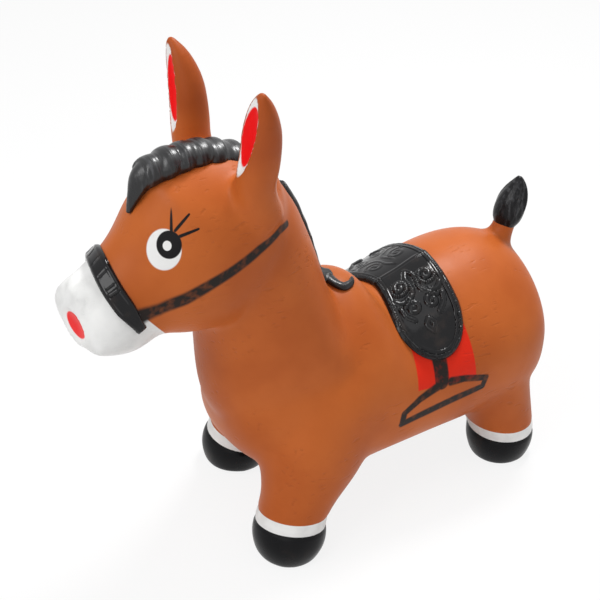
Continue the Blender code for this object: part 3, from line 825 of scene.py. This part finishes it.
def noseband_rise(turn, edge):
    """How far the band stands above the skin: round edge, raised hem, grooves between links, keepers."""
    rise = NOSEBAND_RISE * (1 - bell(edge / NOSEBAND_ROUND)) - NOSEBAND_SINK
    rise += HEM_RISE * ridge(edge - HEM_INSET, HEM_HALF_WIDTH)
    within = 1 - bell((edge - LINK_INSET) / LINK_FADE)
    linked = bell((abs(turn) - KEEPER_TURN) / 0.12)
    rise -= LINK_GROOVE * bell(abs(math.sin(turn * LINK_RATE)) / 0.30) * within * linked
    keeper = (abs(turn) - KEEPER_TURN) * NOSE_PER_TURN
    return rise + KEEPER_RISE * within * ridge(keeper, KEEPER_HALF_WIDTH)


def noseband_piece(skin_tree):
    """A raised, slanted band over the nose: links on top, then a keeper and a plain strap each side."""
    lift = MUZZLE_AXIS.cross(Vector((1, 0, 0)))
    bm = bmesh.new()
    bmesh.ops.create_grid(bm, x_segments=240, y_segments=26, size=1.0)
    for vertex in bm.verts:
        turn = vertex.co.x * NOSEBAND_REACH
        bow = NOSEBAND_BOW + NOSEBAND_SLANT * math.sin(SLANT_RATE * turn)
        taper = bell((abs(turn) - TAPER_START) / TAPER_LENGTH)
        half_width = NOSEBAND_HALF_WIDTH * (0.55 + 0.45 * taper)
        shift = vertex.co.y * half_width
        start = NOSEBAND_CENTRE + MUZZLE_AXIS * (bow + shift)
        outward = lift * math.cos(turn) + Vector((math.sin(turn), 0, 0))
        spot, normal, _, _ = skin_tree.ray_cast(start, outward)
        edge = min(half_width - abs(shift), (NOSEBAND_REACH - abs(turn)) * CHEEK_PER_TURN)
        vertex.co = spot + normal * noseband_rise(turn, edge)
    bmesh.ops.recalc_face_normals(bm, faces=bm.faces)
    return walled("noseband", bm, NOSEBAND_WALL)


# Valve

def turned(name, profile, steps=48):
    """A round piece from radius and height points, spun about the valve's middle line."""
    bm = bmesh.new()
    verts = [bm.verts.new((radius, 0, height)) for radius, height in profile]
    edges = [bm.edges.new(pair) for pair in zip(verts, verts[1:])]
    bmesh.ops.spin(
        bm, geom=verts + edges, cent=(0, 0, 0), axis=UP, angle=math.tau, steps=steps, use_merge=True
    )
    bmesh.ops.remove_doubles(bm, verts=bm.verts, dist=1e-6)
    bmesh.ops.recalc_face_normals(bm, faces=bm.faces)
    bmesh.ops.translate(bm, verts=bm.verts, vec=(VALVE.x, VALVE.y, 0))
    return add_object(name, mesh_from(bm, name))


def valve_seat_piece():
    """A round seat set into the belly, with an open bore."""
    low = VALVE.z
    return turned("valve_seat_ring", [
        (0.0047, low + 0.0006), (0.0053, low), (0.0080, low), (0.0087, low + 0.0004),
        (0.0090, low + 0.0012), (0.0090, low + 0.0105), (0.0046, low + 0.0105),
        (0.0046, low + 0.0012), (0.0047, low + 0.0006),
    ])


def valve_plug_piece():
    """A stopper with a dished head and a tapered stem."""
    low = VALVE.z
    return turned("valve_plug_stopper", [
        (0.0, low - 0.0024), (0.0030, low - 0.0024), (0.0038, low - 0.0020), (0.0046, low - 0.0026),
        (0.0066, low - 0.0025), (0.0075, low - 0.0020), (0.0078, low - 0.0012), (0.0074, low - 0.0004),
        (0.0042, low - 0.0003), (0.0042, low + 0.0080), (0.0036, low + 0.0098), (0.0, low + 0.0100),
    ])


# Finishes

BROWN = (0.50, 0.122, 0.025, 1.0)
BROWN_DEEP = (0.41, 0.090, 0.017, 1.0)
# Painted shade in the grooves of the moulded hair strokes
BROWN_GROOVE_SHADE = (0.17, 0.034, 0.008, 1.0)
EAR_BROWN = (0.36, 0.074, 0.015, 1.0)
WHITE = (0.80, 0.80, 0.79, 1.0)
WHITE_SHADE = (0.70, 0.70, 0.69, 1.0)
BLACK = (0.004, 0.004, 0.005, 1.0)
BLACK_THIN = (0.020, 0.014, 0.012, 1.0)
RED = (0.80, 0.004, 0.005, 1.0)
RED_BLANKET = (0.68, 0.022, 0.007, 1.0)
HAIR_DARK = (0.007, 0.007, 0.008, 1.0)
# Grey of the hair's strands: partly paint, partly painted sheen
HAIR_GREY_SHEEN = (0.045, 0.046, 0.050, 1.0)
MILKY = (0.66, 0.66, 0.63, 1.0)
MILKY_SHADE = (0.58, 0.58, 0.55, 1.0)

# Rounds of a left eye: colour, centre, half width, half height
EYE_ROUNDS = [
    (WHITE, EYE, 0.0168, 0.0198),
    (BLACK, Vector((0.0465, -0.2055, 0.4065)), 0.0121, 0.0135),
    (WHITE, Vector((0.0455, -0.2070, 0.4055)), 0.0042, 0.0048),
]

# How far from its middle an oval of paint reaches into and out of the skin
PAINT_DEPTH = 0.03

# Brush strokes on the left side: x, y, z, half width; those on the flank are laid on from the side
LASHES = [
    [(0.044, -0.201, 0.418, 0.0018), (0.035, -0.195, 0.440, 0.0012)],
    [(0.046, -0.198, 0.419, 0.0018), (0.047, -0.1825, 0.4325, 0.0012)],
    [(0.050, -0.195, 0.414, 0.0018), (0.056, -0.178, 0.4195, 0.0012)],
]
CHEEK_STRAP = [
    (0.053, -0.245, 0.342, 0.0085),
    (0.056, -0.224, 0.343, 0.0080),
    (0.061, -0.199, 0.351, 0.0070),
    (0.067, -0.175, 0.362, 0.0062),
    (0.072, -0.149, 0.373, 0.0056),
    (0.072, -0.121, 0.386, 0.0052),
    (0.065, -0.093, 0.396, 0.0048),
    (0.055, -0.078, 0.394, 0.0036),
]
GIRTH = [(0, 0.0955, 0.195, 0.0090), (0, 0.092, 0.165, 0.0090)]
STIRRUP_FRONT = [
    (0, 0.088, 0.162, 0.0052),
    (0, 0.061, 0.154, 0.0045),
    (0, 0.040, 0.143, 0.0042),
    (0, 0.038, 0.129, 0.0042),
]
STIRRUP_TREAD = [
    (0, 0.038, 0.129, 0.0045),
    (0, 0.076, 0.133, 0.0050),
    (0, 0.110, 0.137, 0.0050),
    (0, 0.148, 0.140, 0.0042),
]
STIRRUP_REAR = [
    (0, 0.148, 0.140, 0.0040),
    (0, 0.152, 0.151, 0.0040),
    (0, 0.122, 0.160, 0.0042),
    (0, 0.104, 0.162, 0.0052),
]

# Edges of the blanket: a direction across the edge, and where it fades from bare to painted
BLANKET_EDGES = [
    ((0, 1.0, -0.18), 0.0294, 0.0310),
    ((0, 1.0, 0), 0.1388, 0.1372),
    ((0, 0.1, 1.0), 0.1695, 0.1712),
    ((0, 0, 1.0), 0.226, 0.222),
]


def add_node(tree, kind, settings=None, inputs=None):
    """A node with its settings, and its inputs given as values or as sockets to link."""
    made = tree.nodes.new(kind)
    for name, value in (settings or {}).items():
        setattr(made, name, value)
    for key, value in (inputs or {}).items():
        if isinstance(value, bpy.types.NodeSocket):
            tree.links.new(value, made.inputs[key])
        else:
            made.inputs[key].default_value = value
    return made


def number(tree, operation, first, second, clamp=False):
    """A sum, product or the like of two numbers."""
    return add_node(
        tree, "ShaderNodeMath", {"operation": operation, "use_clamp": clamp}, {0: first, 1: second}
    ).outputs[0]


def vector(tree, operation, first, second, output="Vector"):
    """A sum, product or the like of two vectors."""
    return add_node(
        tree, "ShaderNodeVectorMath", {"operation": operation}, {0: first, 1: second}
    ).outputs[output]


def fade(tree, value, none, full):
    """0 where the value is at none, 1 where it is at full."""
    return add_node(
        tree, "ShaderNodeMapRange", {"interpolation_type": "SMOOTHSTEP"},
        {"Value": value, "From Min": none, "From Max": full},
    ).outputs["Result"]


def painted(tree, under, colour, mask):
    """A colour laid over another where the mask is 1."""
    return add_node(
        tree, "ShaderNodeMix", {"data_type": "RGBA"}, {0: mask, 6: under, 7: colour}
    ).outputs[2]


def oval(tree, place, centre, turn, radii, soft):
    """1 inside an oval with a soft edge."""
    local = add_node(
        tree, "ShaderNodeMapping", {"vector_type": "TEXTURE"},
        {"Vector": place, "Location": tuple(centre), "Rotation": turn, "Scale": radii},
    ).outputs[0]
    far = vector(tree, "LENGTH", local, (0, 0, 0), "Value")
    return fade(tree, far, 1 + soft, 1 - soft)


def stroke(tree, place, start, end, widths, soft):
    """A brush stroke between two points, with a half width at each end."""
    start, end = Vector(start), Vector(end)
    run = end - start
    offset = vector(tree, "SUBTRACT", place, tuple(start))
    share = vector(tree, "DOT_PRODUCT", offset, tuple(run / run.length_squared), "Value")
    share = number(tree, "ADD", share, 0.0, clamp=True)
    nearest = add_node(
        tree, "ShaderNodeVectorMath", {"operation": "SCALE"}, {0: tuple(run), "Scale": share}
    ).outputs[0]
    far = vector(tree, "DISTANCE", offset, nearest, "Value")
    width = number(tree, "MULTIPLY_ADD", share, widths[1] - widths[0])
    width.node.inputs[2].default_value = widths[0]
    far = number(tree, "DIVIDE", far, width)
    return fade(tree, far, 1 + soft, 1 - soft)


def strokes(tree, place, rows, soft):
    """Brush strokes through rows of x, y, z, half width."""
    mask = 0.0
    for start, end in zip(rows, rows[1:]):
        part = stroke(tree, place, start[:3], end[:3], (start[3], end[3]), soft)
        mask = number(tree, "MAXIMUM", mask, part)
    return mask


def rest_place(tree):
    """Where a point of the surface sits at rest."""
    return add_node(tree, "ShaderNodeAttribute", {"attribute_name": "rest_place"}).outputs["Vector"]


def folded(tree, place):
    """The place with both flanks laid on the left one."""
    split = add_node(tree, "ShaderNodeSeparateXYZ", None, {0: place})
    across = number(tree, "ABSOLUTE", split.outputs[0], 0.0)
    return add_node(
        tree, "ShaderNodeCombineXYZ", None, {0: across, 1: split.outputs[1], 2: split.outputs[2]}
    ).outputs[0]


def cloud(tree, place, scale, detail=3.0, output=0):
    """Soft noise."""
    return add_node(
        tree, "ShaderNodeTexNoise", None, {"Vector": place, "Scale": scale, "Detail": detail}
    ).outputs[output]


def stretched(tree, place, scale):
    """The place scaled by its own amount in x, y and z."""
    return vector(tree, "MULTIPLY", place, scale)


def distance_along(tree, place, direction):
    """How far a place lies along a direction."""
    return vector(tree, "DOT_PRODUCT", place, tuple(direction), "Value")


def new_finish(name, roughness, spread, patch_scale, grain_height, grain_scale, sheen=0.13):
    """A vinyl surface with uneven gloss and a fine moulded grain; returns what paint needs."""
    material = bpy.data.materials.new(name)
    material.use_nodes = True
    tree = material.node_tree
    shader = tree.nodes["Principled BSDF"]
    shader.inputs["Specular IOR Level"].default_value = sheen
    place = rest_place(tree)
    gloss = cloud(tree, place, patch_scale)
    low, high = roughness - spread, roughness + spread
    rough = add_node(
        tree, "ShaderNodeMapRange", None,
        {"Value": gloss, "From Min": 0.3, "From Max": 0.7, "To Min": low, "To Max": high},
    ).outputs["Result"]
    tree.links.new(rough, shader.inputs["Roughness"])
    fine = cloud(tree, place, grain_scale, 2.0)
    bump = add_node(
        tree, "ShaderNodeBump", None, {"Height": fine, "Strength": 0.25, "Distance": grain_height}
    )
    tree.links.new(bump.outputs[0], shader.inputs["Normal"])
    return material, tree, shader, place, bump


def new_vinyl(name):
    """The bare skin's surface."""
    return new_finish(
        name, roughness=0.42, spread=0.06, patch_scale=22.0, grain_height=0.0004, grain_scale=900.0
    )


def two_toned(finish, colour, other, patches):
    """A finish in one colour with soft patches of another; patches are scale, detail, none and full."""
    material, tree, shader, place, _ = finish
    scale, detail, none, full = patches
    mask = fade(tree, cloud(tree, place, scale, detail), none, full)
    tree.links.new(painted(tree, colour, other, mask), shader.inputs["Base Color"])
    return material


def hair_strokes(tree, place):
    """Short wavy strokes of moulded hair, in patches."""
    sway = vector(tree, "MULTIPLY", cloud(tree, place, 55.0, 1.0, "Color"), (0.006, 0.0, 0.006))
    wave = vector(tree, "ADD", place, sway)
    combed = cloud(tree, stretched(tree, wave, (230.0, 62.0, 230.0)), 1.0, 1.0)
    patch = fade(tree, cloud(tree, place, 16.0, 1.0), 0.46, 0.60)
    return number(tree, "MULTIPLY", fade(tree, combed, 0.60, 0.74), patch)


def brown_coat(tree, place, bump, brown=BROWN, deep=BROWN_DEEP):
    """Brown vinyl, a little uneven in depth, with faint moulded strokes of hair and painted shade in their
    grooves; gives colour and normal.
    """
    patches = fade(tree, cloud(tree, place, 9.0, 4.0), 0.35, 0.68)
    coat = painted(tree, brown, deep, patches)
    hair = hair_strokes(tree, place)
    # Painted shade: the grooves of the hair strokes are darkened
    coat = painted(tree, coat, BROWN_GROOVE_SHADE, number(tree, "MULTIPLY", hair, 0.13))
    combed = add_node(
        tree, "ShaderNodeBump", {"invert": True},
        {"Height": hair, "Strength": 0.45, "Distance": 0.0008, "Normal": bump.outputs[0]},
    )
    return coat, combed.outputs[0]


def paint_muzzle(tree, place, coat):
    """White ahead of the noseband and over the chin, and the red mouth."""
    fronts = []
    for spot, direction in ((MUZZLE_CUT, MUZZLE_AXIS), CHIN_LINE):
        line = spot.dot(direction)
        fronts.append(fade(tree, distance_along(tree, place, direction), line - 0.0005, line + 0.0005))
    above_chest = fade(tree, distance_along(tree, place, UP), 0.270, 0.274)
    muzzle = number(tree, "MULTIPLY", number(tree, "MAXIMUM", *fronts), above_chest)
    white = painted(tree, WHITE, WHITE_SHADE, fade(tree, cloud(tree, place, 30.0), 0.4, 0.7))
    coat = painted(tree, coat, white, muzzle)
    radii = MOUTH_HALF_WIDTH, PAINT_DEPTH, MOUTH_HALF_HEIGHT
    return painted(tree, coat, RED, oval(tree, place, MOUTH, (0, -MOUTH_TURN, 0), radii, 0.06))


def paint_eyes(tree, both, coat):
    """Black eyes in white rounds, with a glint and three lashes each."""
    turn = tuple(Matrix((EYE_ACROSS, EYE_UP, EYE_ACROSS.cross(EYE_UP))).transposed().to_euler())
    for colour, centre, half_width, half_height in EYE_ROUNDS:
        radii = half_width, half_height, PAINT_DEPTH
        coat = painted(tree, coat, colour, oval(tree, both, centre, turn, radii, 0.04))
    for lash in LASHES:
        coat = painted(tree, coat, BLACK, strokes(tree, both, lash, 0.25))
    return coat


def paint_blanket(tree, flank, coat):
    """A red blanket that hangs out below the saddle."""
    mask = 1.0
    for direction, bare, full in BLANKET_EDGES:
        mask = number(tree, "MULTIPLY", mask, fade(tree, distance_along(tree, flank, direction), bare, full))
    return painted(tree, coat, RED_BLANKET, mask)


def spray_black(tree, place, coat, mask):
    """Black paint laid on so thinly that the coat shows through in places."""
    cover = number(tree, "ADD", cloud(tree, place, 120.0, 2.0), 0.50, clamp=True)
    return painted(tree, coat, BLACK_THIN, number(tree, "MULTIPLY", mask, cover))


def body_finish():
    """Brown skin with a white muzzle and the sprayed face, harness and blanket."""
    material, tree, shader, place, bump = new_vinyl("brown_skin")
    both = folded(tree, place)
    flank = stretched(tree, both, (0.0, 1.0, 1.0))
    coat, combed = brown_coat(tree, place, bump)
    coat = paint_muzzle(tree, place, coat)
    coat = spray_black(tree, place, coat, strokes(tree, both, CHEEK_STRAP, 0.30))
    coat = paint_eyes(tree, both, coat)
    coat = paint_blanket(tree, flank, coat)
    harness = strokes(tree, flank, GIRTH, 0.12)
    for bar in (STIRRUP_FRONT, STIRRUP_TREAD, STIRRUP_REAR):
        harness = number(tree, "MAXIMUM", harness, strokes(tree, flank, bar, 0.28))
    coat = spray_black(tree, place, coat, harness)
    tree.links.new(coat, shader.inputs["Base Color"])
    tree.links.new(combed, shader.inputs["Normal"])
    return material


def limb_finish():
    """Plain brown skin for the shanks, the tail's stub and the valve seat."""
    material, tree, shader, place, bump = new_vinyl("brown_limb")
    coat, combed = brown_coat(tree, place, bump)
    tree.links.new(coat, shader.inputs["Base Color"])
    tree.links.new(combed, shader.inputs["Normal"])
    return material


def ear_finish(word, side):
    """A brown ear with a white lining and a red heart to it."""
    material, tree, shader, place, bump = new_vinyl("ear_skin_" + word)
    across, facing, tipward = ear_axes(side)
    centre = mirrored(EAR_HOLLOW, side)
    above_root = fade(tree, distance_along(tree, place, UP), 0.464, 0.498)
    brown = painted(tree, BROWN, EAR_BROWN, above_root)
    deep = painted(tree, BROWN_DEEP, EAR_BROWN, above_root)
    coat, _ = brown_coat(tree, place, bump, brown, deep)
    turn = tuple(Matrix((across, -facing, tipward)).transposed().to_euler())
    rim = centre.dot(facing)
    front = fade(tree, distance_along(tree, place, facing), rim - 0.004, rim)
    for colour, spot, radii in (
        (WHITE, centre, (EAR_HOLLOW_HALF_WIDTH * 0.98, 1, EAR_HOLLOW_HALF_LENGTH)),
        (RED, centre - tipward * 0.001 - across * 0.0016, (EAR_HOLLOW_HALF_WIDTH * 0.85, 1, 0.0330)),
    ):
        mask = number(tree, "MULTIPLY", oval(tree, place, spot, turn, radii, 0.04), front)
        coat = painted(tree, coat, colour, mask)
    tree.links.new(coat, shader.inputs["Base Color"])
    return material


def band_finish():
    """White paint above the hooves."""
    finish = new_finish(
        "white_band", roughness=0.40, spread=0.05, patch_scale=40.0, grain_height=0.0003, grain_scale=900.0
    )
    return two_toned(finish, WHITE, WHITE_SHADE, (45.0, 3.0, 0.4, 0.7))


def hoof_finish():
    """Black satin paint, thinner and greyer in places."""
    finish = new_finish(
        "black_hoof", roughness=0.30, spread=0.07, patch_scale=35.0, grain_height=0.0004, grain_scale=700.0
    )
    return two_toned(finish, BLACK, BLACK_THIN, (28.0, 4.0, 0.52, 0.80))


def saddle_finish():
    """High-gloss black paint."""
    finish = new_finish(
        "gloss_black", roughness=0.08, spread=0.04, patch_scale=40.0, grain_height=0.0002,
        grain_scale=600.0, sheen=0.26,
    )
    return two_toned(finish, BLACK, BLACK_THIN, (55.0, 4.0, 0.50, 0.80))


def plug_finish():
    """Milky soft plastic."""
    finish = new_finish(
        "milky_plug", roughness=0.35, spread=0.06, patch_scale=300.0, grain_height=0.0002,
        grain_scale=1500.0,
    )
    return two_toned(finish, MILKY, MILKY_SHADE, (220.0, 3.0, 0.4, 0.7))


def hair_finish(name, flow, sheen):
    """Dark hair with greyer strands that run along the flow; their grey is partly paint and partly painted
    sheen.
    """
    material, tree, shader, place, _ = new_finish(
        name, roughness=0.30, spread=0.06, patch_scale=60.0, grain_height=0.0003, grain_scale=800.0,
        sheen=sheen,
    )
    combed = cloud(tree, stretched(tree, place, flow), 1.0)
    strands = fade(tree, combed, 0.48, 0.75)
    # Grey strands along the flow, partly painted sheen
    tree.links.new(painted(tree, HAIR_DARK, HAIR_GREY_SHEEN, strands), shader.inputs["Base Color"])
    bump = add_node(
        tree, "ShaderNodeBump", None, {"Height": combed, "Strength": 0.5, "Distance": 0.0012}
    )
    tree.links.new(bump.outputs[0], shader.inputs["Normal"])
    return material


# Studio

CAMERA_PLACE = (0.996, -0.695, 1.016)
CAMERA_AZIMUTH, CAMERA_PITCH = 56.1, 32.3
CAMERA_LENS, CAMERA_SENSOR = 78.0, 36.0
FLOOR_HALF_SIZE, FLOOR_DROP, FLOOR_GLOW = 9.0, 0.0005, 0.85
ROOM_LIGHT = 0.42

# Round soft boxes: name, place, width, power
LAMPS = [
    ("key", (0.2, -1.5, 1.9), 1.3, 20.0),
    ("fill", (1.5, -1.5, 1.1), 1.4, 5.0),
    ("top", (0.3, 0.5, 2.2), 1.4, 4.0),
    ("back", (-0.44, 0.90, 2.05), 0.52, 34.0),
]
LAMP_AIM = Vector((0.0, 0.0, 0.25))


def add_camera():
    camera = bpy.data.cameras.new("camera")
    camera.sensor_width = CAMERA_SENSOR
    camera.lens = CAMERA_LENS
    holder = add_object("camera", camera)
    holder.location = CAMERA_PLACE
    holder.rotation_euler = (math.radians(90 - CAMERA_PITCH), 0, math.radians(CAMERA_AZIMUTH))
    bpy.context.scene.camera = holder


def seen_rays(tree):
    """1 for rays that show the background itself or its mirror image."""
    light_path = add_node(tree, "ShaderNodeLightPath")
    both = number(
        tree, "MAXIMUM", light_path.outputs["Is Camera Ray"], light_path.outputs["Is Glossy Ray"]
    )
    return number(tree, "MAXIMUM", both, light_path.outputs["Is Transmission Ray"])


def add_floor():
    """A pale floor that takes shadows and melts into the white room."""
    bm = bmesh.new()
    bmesh.ops.create_grid(bm, x_segments=1, y_segments=1, size=FLOOR_HALF_SIZE)
    bmesh.ops.translate(bm, verts=bm.verts, vec=(0, 0, -FLOOR_DROP))
    floor = add_object("floor", mesh_from(bm, "floor"))
    material = bpy.data.materials.new("pale_floor")
    material.use_nodes = True
    tree = material.node_tree
    shader = tree.nodes["Principled BSDF"]
    shader.inputs["Base Color"].default_value = (0.86, 0.86, 0.86, 1)
    shader.inputs["Roughness"].default_value = 0.9
    shader.inputs["Specular IOR Level"].default_value = 0.0
    glow = add_node(tree, "ShaderNodeEmission", None, {"Color": (1, 1, 1, 1), "Strength": 1.0})
    share = number(tree, "MULTIPLY", seen_rays(tree), FLOOR_GLOW)
    mix = add_node(
        tree, "ShaderNodeMixShader", None, {0: share, 1: shader.outputs[0], 2: glow.outputs[0]}
    )
    tree.links.new(mix.outputs[0], tree.nodes["Material Output"].inputs["Surface"])
    floor.data.materials.append(material)


def add_lamp(name, place, width, power):
    lamp = bpy.data.lights.new(name, "AREA")
    lamp.shape = "DISK"
    lamp.size = width
    lamp.energy = power
    holder = add_object(name, lamp)
    holder.location = place
    holder.rotation_euler = (LAMP_AIM - Vector(place)).to_track_quat("-Z", "Y").to_euler()


def light_studio():
    """A white room that looks brighter than it shines, and the lamps."""
    scene = bpy.context.scene
    world = bpy.data.worlds.new("studio")
    world.use_nodes = True
    tree = world.node_tree
    ground = tree.nodes["Background"]
    ground.inputs["Color"].default_value = (1, 1, 1, 1)
    strength = add_node(
        tree, "ShaderNodeMapRange", None, {"Value": seen_rays(tree), "To Min": ROOM_LIGHT, "To Max": 1.0}
    )
    tree.links.new(strength.outputs["Result"], ground.inputs["Strength"])
    scene.world = world
    for lamp in LAMPS:
        add_lamp(*lamp)
    scene.view_settings.view_transform = "Standard"


# Assembly

def settle(piece, finish, nodes):
    """Give a piece its finish and the nodes that it stands for."""
    piece.data.materials.clear()
    piece.data.materials.append(finish)
    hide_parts(*nodes)


def place_relief(piece, finish, node, body="air_body"):
    """Finish a piece that stands for one node and moves with one body."""
    shade(piece)
    settle(piece, finish, [node])
    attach(piece, body)


def dress_legs(zones, limb):
    """Shanks and bands between the body and the feet; each hoof goes with the foot that it belongs to."""
    band, hoof = band_finish(), hoof_finish()
    for leg, rows in LEGS.items():
        for kind, finish, slot in (("leg_shank_", limb, "skin"), ("hoof_band_", band, "white_paint")):
            zone = zones[kind + leg]
            zone.name = kind + leg + "_skin"
            settle(zone, finish, [kind + leg])
            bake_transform(zone)
        zone = zones["hoof_" + leg]
        zone.name = "hoof_" + leg + "_cup"
        settle(zone, hoof, ["hoof_" + leg])
        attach(zone, "foot_" + leg)


def dress_ears(zones):
    """Each ear, cut from the skin at its root, with its own finish."""
    for name, side in SIDES.items():
        zone = zones["ear_" + name]
        zone.name = "ear_" + name + "_skin"
        settle(zone, ear_finish(name, side), ["ear_root_" + name, "ear_" + name])
        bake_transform(zone)


def dress_tail(zones, limb):
    """The tail's stub under the tuft, which takes the place of the skin inside it and goes with the tail."""
    stub = zones["tail_stub"]
    stub.name = "tail_stub_skin"
    settle(stub, limb, ["tail_root"])
    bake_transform(stub)
    bpy.data.objects.remove(zones["tail_core"])
    tail_hair = hair_finish("tail_hair", (260.0, 260.0, 45.0), 0.16)
    place_relief(tuft_piece(), tail_hair, "tail_tuft", "tail")


def dress():
    """The whole horse, every piece with its finish, its nodes and its body."""
    bm = skin_form()
    skin_tree = BVHTree.FromBMesh(bm)
    zones = skin_zones(bm)

    body = zones["body_skin"]
    settle(body, body_finish(), ["torso_skin", "neck_skin", "head_skin", "muzzle_skin"])
    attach(body, "air_body")

    limb = limb_finish()
    dress_legs(zones, limb)
    dress_ears(zones)
    dress_tail(zones, limb)

    brow_hair = hair_finish("brow_hair", (40.0, 330.0, 40.0), 0.5)
    place_relief(forelock_piece(), brow_hair, "forelock")
    mane_hair = hair_finish("mane_hair", (240.0, 70.0, 70.0), 0.3)
    place_relief(crest_piece(skin_tree), mane_hair, "crest_mane")

    gloss = saddle_finish()
    place_relief(saddle_piece(skin_tree), gloss, "saddle_pad")
    place_relief(noseband_piece(skin_tree), gloss, "noseband")

    place_relief(valve_seat_piece(), limb, "valve_seat")
    place_relief(valve_plug_piece(), plug_finish(), "valve_plug", "plug")


add_camera()
add_floor()
light_studio()
dress()
